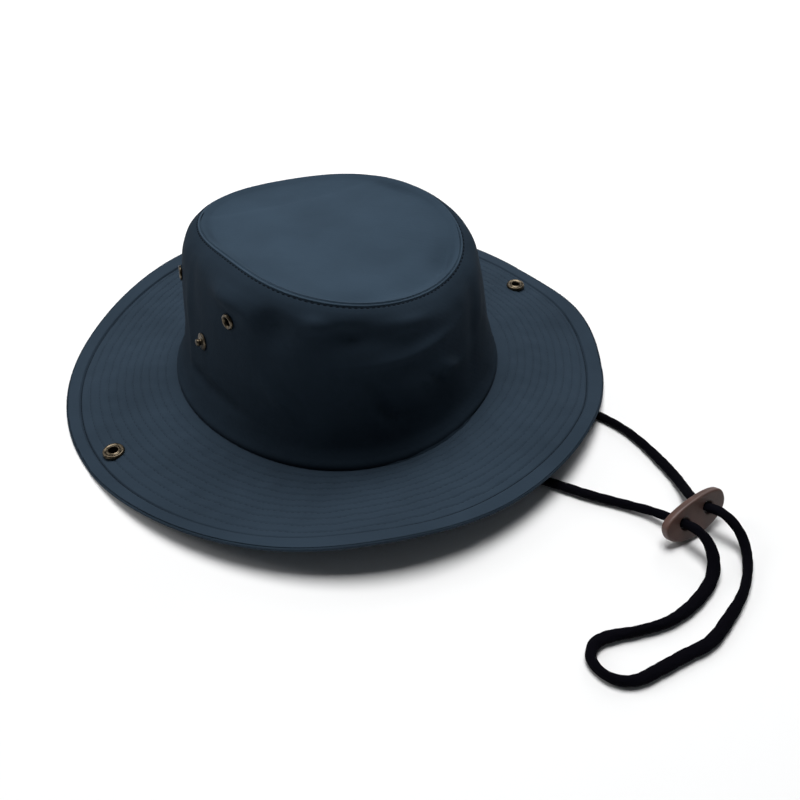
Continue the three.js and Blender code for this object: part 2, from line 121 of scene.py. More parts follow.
# Turn in degrees, width of the turned hem in millimetres
HEM_WIDTH = (
    (0, 9.6),
    (30, 10.0),
    (60, 10.5),
    (105, 10.2),
    (120, 9.2),
    (136, 8.1),
    (160, 7.5),
    (180, 6.9),
    (200, 6.6),
    (215, 7.1),
    (238, 8.8),
    (256, 7.4),
    (270, 7.9),
    (300, 7.6),
    (317, 9.2),
    (340, 9.9),
)

# Share of the wall's height, share of the way in to the tip seam
WALL_SECTION = (
    (0.0, 0.0),
    (0.02, 0.0),
    (0.06, 0.07),
    (0.13, 0.16),
    (0.3, 0.3),
    (0.5, 0.385),
    (0.7, 0.465),
    (0.85, 0.555),
    (0.93, 0.65),
    (0.975, 0.79),
    (0.995, 0.93),
    (1.0, 1.0),
)

# Turn in degrees, how much further in the shoulder and the waist lie
WALL_SLACK = (
    (0, 0.20, 0.0),
    (30, 0.14, 0.012),
    (60, 0.05, 0.018),
    (90, 0.0, 0.019),
    (120, -0.03, 0.015),
    (150, -0.03, 0.0),
    (180, -0.01, -0.017),
    (210, -0.02, -0.025),
    (240, -0.04, -0.033),
    (270, -0.07, -0.043),
    (300, -0.06, -0.050),
    (330, 0.06, -0.030),
)

# Share of the way out to the tip's rim, share of the sag
TIP_SECTION = ((0.0, 0.9), (0.25, 0.95), (0.55, 1.0), (0.82, 0.8), (0.94, 0.42), (1.0, 0.0))

# Turn and reach in degrees, and depth in millimetres, of the dents along the tip's rim
TIP_DENTS = (
    (205, 15, 2.4),
    (247, 14, 4.2),
    (282, 8, 1.4),
    (311, 12, 4.4),
    (20, 14, 1.4),
    (150, 16, 1.3),
)

# Turn in degrees of each side's snap, and its distance from the brim's edge in millimetres
SOCKETS = {"left": (181.3, 15.0), "right": (-1.6, 20.6)}

# Radius and height above the cloth, along the profile of each fitting
SNAP_CAP = (
    (1.9, -0.2),
    (5.45, -0.2),
    (5.65, 0.4),
    (5.6, 1.3),
    (5.2, 1.95),
    (4.6, 2.1),
    (4.1, 1.95),
    (3.7, 1.75),
    (3.35, 1.95),
    (2.9, 2.2),
    (2.6, 2.1),
    (2.35, 1.7),
    (2.3, 0.5),
    (0, 0.5),
)
# A near-black plug that fills the snap's hole: painted shade where the hole is dark.
SNAP_MOUTH_SHADE = ((0, 0.3), (2.35, 0.3), (2.35, 1.55), (0, 1.55))
STUD_CAP = (
    (1.9, 0.05),
    (4.5, 0.05),
    (4.6, 0.5),
    (3.9, 0.9),
    (2.6, 1.05),
    (1.6, 1.2),
    (1.5, 1.7),
    (2.0, 2.2),
    (1.95, 3.0),
    (1.3, 3.55),
    (0, 3.6),
)
EYELET_RIM = (
    (4.0, 0.05),
    (4.1, 0.5),
    (3.8, 1.1),
    (3.3, 1.35),
    (2.75, 1.2),
    (2.3, 0.7),
    (2.1, 0.0),
)
# A near-black plug that fills the eyelet's bore: painted shade where the hole is dark.
EYELET_WELL_SHADE = ((0, -0.6), (2.15, -0.6), (2.15, 0.45), (0, 0.45))

# Reach of the rounding of a metal corner, in millimetres
CORNER = 0.3

# The cord's middle line between its two ends, in millimetres
CORD_ROUTE = (
    (-77.1, -1.2, 11.4),
    (-68.6, -4.8, 6.8),
    (-59.6, -11.8, 3.4),
    (-49.1, -22.8, 2.6),
    (-36.1, -42.8, 2.6),
    (-19.1, -67.8, 2.6),
    (-1.6, -93.8, 2.6),
    (15.9, -119.8, 2.6),
    (32.8, -145.1, 2.6),
    (43.4, -163.3, 2.6),
    (52.9, -177.8, 2.8),
    (58.9, -189.3, 4.2),
    (61.1, -201.6, 7.7),
    (60.7, -207.0, 10.3),
    (60.9, -212.8, 11.5),
    (60.9, -218.8, 10.1),
    (59.1, -224.4, 7.2),
    (55.3, -229.0, 4.3),
    (49.9, -232.2, 2.8),
    (41.4, -234.8, 2.6),
    (30.6, -236.5, 2.6),
    (18.5, -236.2, 2.6),
    (5.4, -232.4, 2.6),
    (-7.7, -227.0, 2.6),
    (-14.9, -226.4, 2.6),
    (-20.7, -230.2, 2.6),
    (-22.1, -237.2, 2.6),
    (-19.1, -244.2, 2.6),
    (-12.5, -248.6, 2.6),
    (-2.1, -250.2, 2.6),
    (10.9, -251.6, 2.6),
    (25.6, -253.2, 2.6),
    (41.8, -249.6, 2.6),
    (56.4, -244.7, 2.6),
    (66.9, -238.7, 2.8),
    (74.3, -232.0, 4.2),
    (78.1, -225.2, 7.4),
    (78.3, -218.8, 11.1),
    (76.9, -212.8, 13.3),
    (75.7, -207.0, 12.3),
    (76.1, -201.6, 9.7),
    (78.7, -194.4, 7.2),
    (82.9, -187.3, 4.3),
    (86.5, -178.8, 2.9),
    (89.1, -167.8, 2.6),
    (91.2, -152.8, 2.6),
    (91.3, -137.8, 2.6),
    (87.2, -120.8, 2.6),
    (77.9, -104.8, 2.6),
    (66.9, -90.8, 2.6),
    (57.4, -74.8, 2.6),
    (53.4, -56.8, 2.6),
    (54.9, -39.8, 2.6),
    (60.4, -25.3, 3.4),
    (66.9, -13.3, 6.6),
    (75.4, -4.3, 11.0),
)

# Knot of the cord's middle line, and the cord's width there in millimetres
CORD_WIDTH = (
    (0, 5.0),
    (9, 5.2),
    (10, 5.5),
    (11, 4.6),
    (12, 4.3),
    (15, 4.8),
    (16, 5.4),
    (17, 6.1),
    (19, 6.2),
    (21, 5.7),
    (22, 5.0),
    (23, 4.6),
    (24, 6.0),
    (26, 4.8),
    (27, 4.1),
    (28, 4.7),
    (30, 5.9),
    (33, 5.7),
    (34, 4.6),
    (35, 4.5),
    (37, 5.1),
    (39, 5.3),
    (43, 5.6),
    (45, 6.0),
    (46, 4.7),
    (47, 3.8),
    (49, 4.6),
    (60, 5.0),
)

# Name, place in metres, width in metres and power in watts of each soft light
LIGHTS = (
    ("sky", (0.22, 0.36, 1.87), 1.1, 42),
    ("back_left", (-0.98, 1.10, 0.85), 0.9, 8),
    ("back_right", (1.36, 0.53, 0.85), 0.9, 6),
)


@dataclass(frozen=True)
class Fold:
    """A soft dent in the wall, or a bulge where its depth is below zero.

    Args:
        turn: Place round the hat, in degrees.
        rise: Place up the wall, as a share of its height.
        wide: Reach to each side, in degrees.
        tall: Reach up and down, as a share of the wall's height.
        depth: How far the wall is pressed in, in millimetres.
        lean: Degrees that the fold moves round the hat over the wall's height.
    """

    turn: float
    rise: float
    wide: float
    tall: float
    depth: float
    lean: float = 0.0


FOLDS = (
    Fold(186, 0.20, 15, 0.05, 2.1, -60),
    Fold(203, 0.90, 13, 0.09, -1.1, 0),
    Fold(219, 0.80, 6, 0.10, 1.8, 25),
    Fold(230, 0.90, 6, 0.07, -1.3, 0),
    Fold(240, 0.82, 6, 0.10, 1.5, 40),
    Fold(253, 0.35, 5, 0.08, 1.8, -45),
    Fold(274, 0.50, 12, 0.07, -1.5, -40),
    Fold(300, 0.60, 5, 0.35, 1.5, 10),
    Fold(168, 0.82, 6, 0.25, 1.2, -20),
    Fold(75, 0.50, 9, 0.16, 1.9, 50),
    Fold(120, 0.40, 8, 0.14, 1.8, -40),
    Fold(30, 0.35, 8, 0.16, 1.8, -35),
)

# Smaller rumples that lie on top of the folds
RUMPLES = (
    Fold(243, 0.870, 13, 0.060, 1.3),
    Fold(262, 0.820, 16, 0.060, 0.9),
    Fold(197, 0.885, 9, 0.050, -1.9),
    Fold(207, 0.820, 4, 0.060, -0.8),
    Fold(217, 0.860, 4.5, 0.070, 1.4),
    Fold(232, 0.915, 4, 0.045, -1.2),
    Fold(243, 0.840, 5, 0.070, 0.9),
    Fold(266, 0.925, 8, 0.040, -1.0),
    Fold(261, 0.715, 12, 0.060, -1.1, 243),
    Fold(236, 0.560, 13, 0.200, 1.1),
    Fold(252, 0.420, 2.2, 0.150, 1.2, -20),
    Fold(247, 0.420, 3.0, 0.140, -0.7, -20),
    Fold(262, 0.440, 6, 0.110, -0.8, -20),
    Fold(275, 0.455, 2.2, 0.070, 1.0, -52),
    Fold(281, 0.520, 4, 0.070, -0.8, -52),
    Fold(217, 0.400, 3.5, 0.100, -0.8, -45),
    Fold(223, 0.430, 4, 0.110, 0.7, -45),
    Fold(306, 0.700, 5, 0.150, -0.8, 20),
    Fold(168, 0.550, 3, 0.300, -0.7, -10),
    Fold(60, 0.700, 12, 0.080, -1.0, 30),
    Fold(95, 0.300, 7, 0.120, 0.9, -40),
    Fold(135, 0.800, 9, 0.060, -1.0),
    Fold(350, 0.850, 8, 0.060, -0.9),
    Fold(15, 0.550, 5, 0.160, 0.9, 30),
)


def between(table: Iterable[tuple[float, ...]], at: Array, period: float = 0.0) -> Array:
    """Smooth values between the rows of a table.

    Args:
        table: Rows of a key and one or more values, sorted by key.
        at: Keys to read the table at.
        period: Length after which the table repeats, or 0.

    Returns:
        One value for each key, or one row of values where the table has several.
    """
    rows = np.array(list(table), float)
    keys, values = rows[:, 0], rows[:, 1:]
    at = np.asarray(at, float)
    if period:
        keys = np.concatenate([keys - period, keys, keys + period])
        values = np.tile(values, (3, 1))
        at = np.mod(at, period)
    run = np.append(keys[1:], keys[-1]) - np.insert(keys[:-1], 0, keys[0])
    climb = np.vstack([values[1:], values[-1:]]) - np.vstack([values[:1], values[:-1]])
    slopes = climb / run[:, None]
    low = np.clip(np.searchsorted(keys, at, side="right") - 1, 0, len(keys) - 2)
    span = (keys[low + 1] - keys[low])[..., None]
    share = (at - keys[low])[..., None] / span
    cube, square = share**3, share**2
    found = (
        (2 * cube - 3 * square + 1) * values[low]
        + (cube - 2 * square + share) * span * slopes[low]
        + (3 * square - 2 * cube) * values[low + 1]
        + (cube - square) * span * slopes[low + 1]
    )
    return found[..., 0] if found.shape[-1] == 1 else found


def waves(table: Iterable[tuple[int, float, float]], angle: Array) -> Array:
    """Sum of the waves of a table at each angle."""
    return sum(c * np.cos(n * angle) + s * np.sin(n * angle) for n, c, s in table)


def bell(x: Array) -> Array:
    """Bell curve that is 1 at 0."""
    return np.exp(-(x**2))


def wobble(seed: int, angle: Array, along: Array, count: int = 5, rate: int = 9) -> Array:
    """Smooth seeded unevenness that closes round the hat, about -1 to 1.

    Args:
        seed: Picks one pattern.
        angle: Angle round the hat.
        along: A second value, of about the size of 1.
        count: Number of waves that are added up.
        rate: The most waves round the hat.

    Returns:
        One value for each place.
    """
    draw = np.random.default_rng(seed)
    total = np.zeros(np.broadcast(angle, along).shape)
    for _ in range(count):
        turns = int(draw.integers(2, rate + 1))
        total += np.sin(turns * angle + draw.uniform(-9, 9) * along + draw.uniform(0, 7))
    return total / math.sqrt(count)


def fold_depth(folds: Iterable[Fold], angle: Array, rise: Array) -> Array:
    """How far the folds press the wall in.

    Args:
        folds: The folds that are added up.
        angle: Angle round the hat.
        rise: Share of the wall's height.

    Returns:
        One depth for each place, in millimetres.
    """
    turn = np.degrees(angle)
    total = np.zeros(np.broadcast(angle, rise).shape)
    for fold in folds:
        aside = turn - fold.turn - fold.lean * (rise - fold.rise)
        off = (np.mod(aside + 540, 360) - 180) / fold.wide
        total = total + fold.depth * bell(off) * bell((rise - fold.rise) / fold.tall)
    return total


@dataclass
class HatForm:
    """The hat's cloth surfaces, as functions of the angle round it, in millimetres.

    Args:
        head_half_across: Half the crown's width at its foot.
        head_half_along: Half the crown's length at its foot.
        tip_half_across: Half the tip's width.
        tip_half_along: Half the tip's length.
        crown_height: Rise of the wall from its foot to the tip seam.
        wall_thickness: Thickness of the crown's cloth.
        tip_sag: How deep the tip is dished.
        seam_step: How far the tip lies below the seam.
        seat: Gap between cloths that meet.
        brim_width: Width of the brim along the cloth.
        brim_thickness: Thickness of the brim.
        brim_foot_height: Height of the brim's underside at the crown.
        brim_lift: How high the brim's edge rises where its table says 1.
        brim_arch: How far the brim bows up where its table says 1.
    """

    head_half_across: float = 89.4
    head_half_along: float = 95.0
    tip_half_across: float = 65.0
    tip_half_along: float = 71.2
    crown_height: float = 78.4
    wall_thickness: float = 1.6
    tip_sag: float = 3.2
    seam_step: float = 0.9
    seat: float = 0.3
    brim_width: float = 61.2
    brim_thickness: float = 1.6
    brim_foot_height: float = 5.7
    brim_lift: float = 17.4
    brim_arch: float = 3.0
    middle: Array = field(init=False)
    wall_foot: float = field(init=False)

    def __post_init__(self) -> None:
        """Finds the middle of the brim's outline and the height of the wall's foot."""
        self.middle = np.zeros(2)
        angle = np.linspace(0, 2 * math.pi, 720, endpoint=False)
        edge = self.brim(angle, np.ones_like(angle))[:, :2]
        self.middle = (edge.min(0) + edge.max(0)) / 2
        self.wall_foot = self.brim_foot_height + self.brim_thickness + self.seat

    def head(self, angle: Array) -> Array:
        """Crown's outline on the brim.

        Args:
            angle: Angle round the hat.

        Returns:
            Level points.
        """
        swell = 1 + waves(HEAD_WAVES, angle)
        x = self.head_half_across * np.cos(angle) * swell
        y = self.head_half_along * np.sin(angle) * swell
        return np.stack([x, y], -1) - self.middle

    def outward(self, angle: Array) -> Array:
        """Level unit vectors away from the crown."""
        way = np.stack([np.cos(angle) / self.head_half_across, np.sin(angle) / self.head_half_along], -1)
        return way / np.linalg.norm(way, axis=-1, keepdims=True)

    def brim(self, angle: Array, out: Array) -> Array:
        """Underside of the brim.

        Args:
            angle: Angle round the hat.
            out: Share of the brim's width.

        Returns:
            Points.
        """
        turn = np.degrees(angle)
        drop = self.brim_lift * between(BRIM_EDGE, turn, 360) - self.brim_foot_height
        width = self.brim_width * (1 + between(BRIM_PULL, turn, 360))
        bow = 4 * self.brim_arch * between(BRIM_BOW, turn, 360)
        reach = np.sqrt(width**2 - drop**2)
        spot = self.head(angle) + self.outward(angle) * (reach * out)[..., None]
        way = np.maximum(out, 0)
        z = self.brim_foot_height + drop * way + bow * way * (1 - way)
        return np.concatenate([spot, np.maximum(z, 0)[..., None]], -1)

    def seam(self, angle: Array) -> Array:
        """Tip seam round the top of the wall.

        Args:
            angle: Angle round the hat.

        Returns:
            Points.
        """
        swell = 1 + waves(TIP_WAVES, angle)
        x = self.tip_half_across * np.cos(angle) * swell - self.middle[0]
        y = self.tip_half_along * np.sin(angle) * swell - self.middle[1]
        z = self.wall_foot + self.crown_height * (1 + waves(TIP_HEIGHT_WAVES, angle))
        return np.stack([x, y, z], -1)

    def wall(self, angle: Array, rise: Array) -> Array:
        """Outside of the crown's wall.

        Args:
            angle: Angle round the hat.
            rise: Share of the wall's height.

        Returns:
            Points.
        """
        foot, seam = self.head(angle), self.seam(angle)
        slack = between(WALL_SLACK, np.degrees(angle), 360)
        shoulder = slack[..., 0] * 9.48 * rise**3
        waist = slack[..., 1] * 6.75 * rise * (1 - rise)
        inset = between(WALL_SECTION, rise) + (shoulder + waist) * (1 - rise)
        spot = foot + (seam[..., :2] - foot) * inset[..., None]
        calm = np.minimum(1, np.minimum(20 * rise, 15 * (1 - rise)))
        pressed = fold_depth(FOLDS, angle, rise) * calm
        spot = spot - self.outward(angle) * pressed[..., None]
        z = self.wall_foot + (seam[..., 2] - self.wall_foot) * rise
        return np.concatenate([spot, z[..., None]], -1)

    def tip(self, angle: Array, out: Array) -> Array:
        """Top of the tip.

        Args:
            angle: Angle round the hat.
            out: Share of the way out to the tip's rim.

        Returns:
            Points.
        """
        seam = self.seam(angle)
        rim = seam[..., :2] + self.middle
        length = np.linalg.norm(rim, axis=-1, keepdims=True)
        rim = rim * (length - self.seat) / length * out[..., None] - self.middle
        level = self.wall_foot + self.crown_height
        z = level + (seam[..., 2] - level) * out**2 - self.seam_step
        z = z - self.tip_sag * between(TIP_SECTION, out)
        return np.concatenate([rim, z[..., None]], -1)


def facing_of(point: PointFn, angle: Array, value: Array) -> Array:
    """Unit vectors square to a surface, along (round) x (rising value).

    Args:
        point: The surface, from the angle and the value across.
        angle: Angle round the hat.
        value: Value across.

    Returns:
        One vector for each place.
    """
    step = 0.004
    around = point(angle + step, value) - point(angle - step, value)
    across = point(angle, value + step) - point(angle, value - step)
    facing = np.cross(around, across)
    return facing / np.linalg.norm(facing, axis=-1, keepdims=True)


@dataclass(frozen=True)
class Finish:
    """A procedural material.

    Args:
        name: Material's name.
        slot: Material slot of the record; not used.
        colour: Linear red, green and blue.
        roughness: Principled roughness.
        metallic: Principled metallic.
        sheen: Principled sheen weight.
        shade: Darkest share of the colour that the mottling reaches.
        mottle: Number of mottled patches in a metre.
        grain: Pitch of the fine bumps, in millimetres.
        relief: Height of the fine bumps, in millimetres.
        specular: Principled specular level.
    """

    name: str
    slot: str
    colour: tuple[float, float, float]
    roughness: float
    metallic: float = 0.0
    sheen: float = 0.0
    shade: float = 0.85
    mottle: float = 25.0
    grain: float = 1.0
    relief: float = 0.05
    specular: float = 0.5

    def material(self) -> bpy.types.Material:
        """Makes the material, or finds it where it has been made."""
        made = bpy.data.materials.get(self.name)
        if made:
            return made
        made = bpy.data.materials.new(self.name)
        made.use_nodes = True
        tree = made.node_tree
        shader = tree.nodes["Principled BSDF"]
        shader.inputs["Roughness"].default_value = self.roughness
        shader.inputs["Metallic"].default_value = self.metallic
        shader.inputs["Sheen Weight"].default_value = self.sheen
        shader.inputs["Sheen Roughness"].default_value = 0.5
        shader.inputs["Specular IOR Level"].default_value = self.specular
        place = tree.nodes.new("ShaderNodeTexCoord")
        self._mottle(tree, shader, place)
        self._bumps(tree, shader, place)
        return made

    def _mottle(self, tree: Tree, shader: Node, place: Node) -> None:
        """Colours the finish with soft patches.

        Args:
            tree: The material's nodes.
            shader: Its shader.
            place: Its texture coordinates.
        """
        noise = tree.nodes.new("ShaderNodeTexNoise")
        noise.inputs["Scale"].default_value = self.mottle
        noise.inputs["Detail"].default_value = 4
        ramp = tree.nodes.new("ShaderNodeValToRGB")
        ramp.color_ramp.elements[0].position = 0.35
        ramp.color_ramp.elements[0].color = (*(c * self.shade for c in self.colour), 1)
        ramp.color_ramp.elements[1].position = 0.65
        ramp.color_ramp.elements[1].color = (*self.colour, 1)
        tree.links.new(place.outputs["Object"], noise.inputs["Vector"])
        tree.links.new(noise.outputs["Fac"], ramp.inputs["Fac"])
        tree.links.new(ramp.outputs["Color"], shader.inputs["Base Color"])

    def _bumps(self, tree: Tree, shader: Node, place: Node) -> None:
        """Roughens the finish with fine grain.

        Args:
            tree: The material's nodes.
            shader: Its shader.
            place: Its texture coordinates.
        """
        grain = tree.nodes.new("ShaderNodeTexNoise")
        grain.inputs["Scale"].default_value = 1 / (self.grain * MM)
        grain.inputs["Detail"].default_value = 2
        bump = tree.nodes.new("ShaderNodeBump")
        bump.inputs["Distance"].default_value = self.relief * MM
        tree.links.new(place.outputs["Object"], grain.inputs["Vector"])
        tree.links.new(grain.outputs["Fac"], bump.inputs["Height"])
        tree.links.new(bump.outputs["Normal"], shader.inputs["Normal"])


@dataclass(frozen=True)
class Twill(Finish):
    """Woven cloth: fine slanting ribs over a soft unevenness.

    Args:
        rib: Pitch of the ribs, in millimetres.
        rib_height: Height of the ribs, in millimetres.
    """

    rib: float = 0.9
    rib_height: float = 0.018

    def _bumps(self, tree: Tree, shader: Node, place: Node) -> None:
        """Lays slanting ribs over a soft unevenness.

        Args:
            tree: The material's nodes.
            shader: Its shader.
            place: Its texture coordinates.
        """
        weave = tree.nodes.new("ShaderNodeUVMap")
        weave.uv_map = "weave"
        ribs = tree.nodes.new("ShaderNodeTexWave")
        ribs.bands_direction = "DIAGONAL"
        ribs.inputs["Scale"].default_value = math.pi / (10 * self.rib * MM * math.sqrt(3))
        ribs.inputs["Distortion"].default_value = 0.6
        ribs.inputs["Detail Scale"].default_value = 4
        rumple = tree.nodes.new("ShaderNodeTexNoise")
        rumple.inputs["Scale"].default_value = 1 / (self.grain * MM)
        rumple.inputs["Detail"].default_value = 3
        fine = tree.nodes.new("ShaderNodeBump")
        fine.inputs["Distance"].default_value = self.rib_height * MM
        soft = tree.nodes.new("ShaderNodeBump")
        soft.inputs["Distance"].default_value = self.relief * MM
        tree.links.new(weave.outputs["UV"], ribs.inputs["Vector"])
        tree.links.new(ribs.outputs["Fac"], fine.inputs["Height"])
        tree.links.new(place.outputs["Object"], rumple.inputs["Vector"])
        tree.links.new(rumple.outputs["Fac"], soft.inputs["Height"])
        tree.links.new(soft.outputs["Normal"], fine.inputs["Normal"])
        tree.links.new(fine.outputs["Normal"], shader.inputs["Normal"])


class Look(Enum):
    """The hat's finishes."""

    BRIM = Twill("brim_twill", "cloth", (0.0245, 0.039, 0.057), 0.95, grain=14, relief=0.5, specular=0.08)
    # The wall's cloth is the brim's cloth made darker, as painted shade on the crown's wall.
    WALL = Twill("wall_twill_painted_shade", "cloth", (0.015, 0.025, 0.0375), 0.95, grain=14, relief=0.5, specular=0.06)
    # The tip's cloth is the brim's cloth made lighter, as painted light on the top of the crown.
    TIP = Twill("tip_twill_painted_light", "cloth", (0.032, 0.053, 0.078), 0.95, grain=16, relief=0.5, specular=0.08)
    # A raised ridge along the seam, coloured lighter than the tip's cloth as a painted highlight.
    PIPING = Finish("seam_piping_painted_highlight", "cloth", (0.040, 0.065, 0.094), 0.95, grain=2, specular=0.08)
    THREAD = Finish("thread", "cloth", (0.013, 0.022, 0.034), 0.8, relief=0.03, grain=0.5, specular=0.1)
    # Near-black thread of the tip's seam and of the hem; in the hem its stitches overlap into one dark
    # line that is partly a real seam and partly painted shade of the hem's fold.
    SEAM_THREAD = Finish(
        "seam_thread", "cloth", (0.003, 0.005, 0.008), 0.9, relief=0.03, grain=0.5, specular=0.05
    )
    BRASS = Finish(
        "old_brass", "metal", (0.150, 0.122, 0.085), 0.38, 1.0, shade=0.25, mottle=450, grain=0.9
    )
    # Near-black finish of the plugs that fill the snaps' and eyelets' holes: painted shade.
    WELL = Finish("painted_shade_well", "metal", (0.0012, 0.0009, 0.0008), 1.0, relief=0.0, specular=0.0)
    BRAID = Finish(
        "braid", "cord", (0.0014, 0.0013, 0.0030), 0.95, grain=0.6, relief=0.15, specular=0.05
    )
    LEATHER = Finish(
        "slider_leather", "slider", (0.095, 0.047, 0.037), 0.5, shade=0.6, mottle=70, relief=0.1
    )
    FLOOR = Finish("floor", "floor", (0.86, 0.86, 0.86), 0.9, shade=1.0, relief=0.0)


@dataclass
class Piece:
    """A mesh in the making, in millimetres.

    Args:
        name: Object's name.
        points: Array of points.
        faces: Lists of point numbers.
        look: Its finish.
        uv: One pair for each point, in metres, or nothing.
    """

    name: str
    points: Array
    faces: list[tuple[int, ...]]
    look: Look
    uv: Array | None = None

    def build(self, replaces: Iterable[str] = ()) -> bpy.types.Object:
        """Makes the object, smooth and riding on the part.

        Args:
            replaces: CAD nodes that it takes the place of.

        Returns:
            The object.
        """
        mesh = bpy.data.meshes.new(self.name)
        mesh.from_pydata((np.asarray(self.points) * MM).tolist(), [], self.faces)
        mesh.validate()
        mesh.polygons.foreach_set("use_smooth", [True] * len(mesh.polygons))
        if self.uv is not None:
            layer = mesh.uv_layers.new(name="weave")
            corner = np.zeros(len(mesh.loops), np.int32)
            mesh.loops.foreach_get("vertex_index", corner)
            layer.data.foreach_set("uv", np.asarray(self.uv)[corner].astype(np.float32).ravel())
        mesh.update()
        made = bpy.data.objects.new(self.name, mesh)
        bpy.context.scene.collection.objects.link(made)
        return dress(made, self.look, replaces)


def dress(made: bpy.types.Object, look: Look, replaces: Iterable[str] = ()) -> bpy.types.Object:
    """Gives an object its finish and its place on the part.

    Args:
        made: The object.
        look: Its finish.
        replaces: CAD nodes that it takes the place of.

    Returns:
        The same object.
    """
    made.data.materials.clear()
    made.data.materials.append(look.value.material())
    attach(made, ROOT)
    for node in replaces:
        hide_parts(node)
    return made


def ring_faces(rings: int, steps: int, closed: bool, flip: bool = False) -> list[tuple[int, ...]]:
    """Faces between rings of points, each ring closed on itself.

    Args:
        rings: Number of rings.
        steps: Points in a ring.
        closed: The last ring joins the first.
        flip: Turns the faces over.

    Returns:
        Four point numbers for each face.
    """
    faces = []
    for ring in range(rings if closed else rings - 1):
        low, high = ring * steps, (ring + 1) % rings * steps
        for step in range(steps):
            ahead = (step + 1) % steps
            face = (low + step, low + ahead, high + ahead, high + step)
            faces.append(face[::-1] if flip else face)
    return faces


@dataclass(frozen=True)
class Section:
    """The outline of a sheet's cut edge, followed once round the cloth.

    Args:
        value: Place across the sheet at each point of the outline.
        lift: Height above the sheet's base surface, in millimetres.
        relief: Share of the surface relief that the point takes.
    """

    value: Array
    lift: Array
    relief: Array

    @staticmethod
    def lens(
        values: Array, thick: float, edge: float, base_every: int = 1, far_every: int = 1
    ) -> "Section":
        """Two faces over the same values, with rounded edges.

        Args:
            values: Places across the sheet, from one edge to the other.
            thick: The sheet's thickness.
            edge: How far a rounded edge reaches, in units of value.
            base_every: The base face takes one in so many values.
            far_every: The far face takes one in so many values.

        Returns:
            The outline, base face first.
        """
        turn = np.linspace(0, math.pi, 7)[1:-1]
        over = values[-1] - edge + edge * np.sin(turn)
        under = values[0] + edge - edge * np.sin(turn)
        rise = thick * (1 - np.cos(turn)) / 2
        inner = values.copy()
        inner[0] += edge
        inner[-1] -= edge
        base = np.append(inner[:-1:base_every], inner[-1])
        far = np.append(inner[:-1:far_every], inner[-1])[::-1]
        value = np.concatenate([base, over, far, under])
        lift = np.concatenate([0 * base, rise, 0 * far + thick, rise[::-1]])
        relief = np.concatenate([0 * base, rise / thick, 0 * far + 1, rise[::-1] / thick])
        return Section(value, lift, relief)

    def opened(self) -> "Section":
        """The same outline without its rounding at the first value, where caps close it."""
        return Section(self.value[:-5], self.lift[:-5], self.relief[:-5])


def sheet(
    point: PointFn,
    section: Section,
    steps: int,
    side: float,
    relief: PointFn | None = None,
    capped: bool = False,
) -> tuple[Array, list[tuple[int, ...]]]:
    """Closed cloth sheet round the hat.

    Args:
        point: Base surface, from the angle and the value across.
        section: Outline of the cut edge.
        steps: Points round the hat.
        side: 1 where the cloth lies on the facing side of the base surface, else -1.
        relief: Extra height of the far face, from the angle and the value across.
        capped: The sheet runs to the middle, where small caps close both faces.

    Returns:
        Points and faces.
    """
    angle = np.linspace(0, 2 * math.pi, steps, endpoint=False)[None, :]
    angle = np.repeat(angle, len(section.value), 0)
    value = np.repeat(section.value[:, None], steps, 1)
    lift = np.repeat(section.lift[:, None], steps, 1)
    if relief is not None:
        lift = lift + relief(angle, value) * section.relief[:, None]
    points = point(angle, value) + side * facing_of(point, angle, value) * lift[..., None]
    faces = ring_faces(len(section.value), steps, closed=not capped, flip=True)
    if capped:
        faces.append(tuple(range(steps)))
        faces.append(tuple(range(points.shape[0] * steps - steps, points.shape[0] * steps))[::-1])
    return points.reshape(-1, 3), faces


def make_outward(made: bpy.types.Object) -> bpy.types.Object:
    """Turns a closed mesh's faces outward where they all look in.

    Args:
        made: The object with the mesh.

    Returns:
        The same object.
    """
    mesh = made.data
    mesh.calc_loop_triangles()
    points = np.zeros(len(mesh.vertices) * 3)
    mesh.vertices.foreach_get("co", points)
    corners = np.zeros(len(mesh.loop_triangles) * 3, np.int32)
    mesh.loop_triangles.foreach_get("vertices", corners)
    a, b, c = points.reshape(-1, 3)[corners.reshape(-1, 3)].transpose(1, 0, 2)
    if np.einsum("ij,ij->i", a, np.cross(b, c)).sum() < 0:
        mesh.flip_normals()
    return made


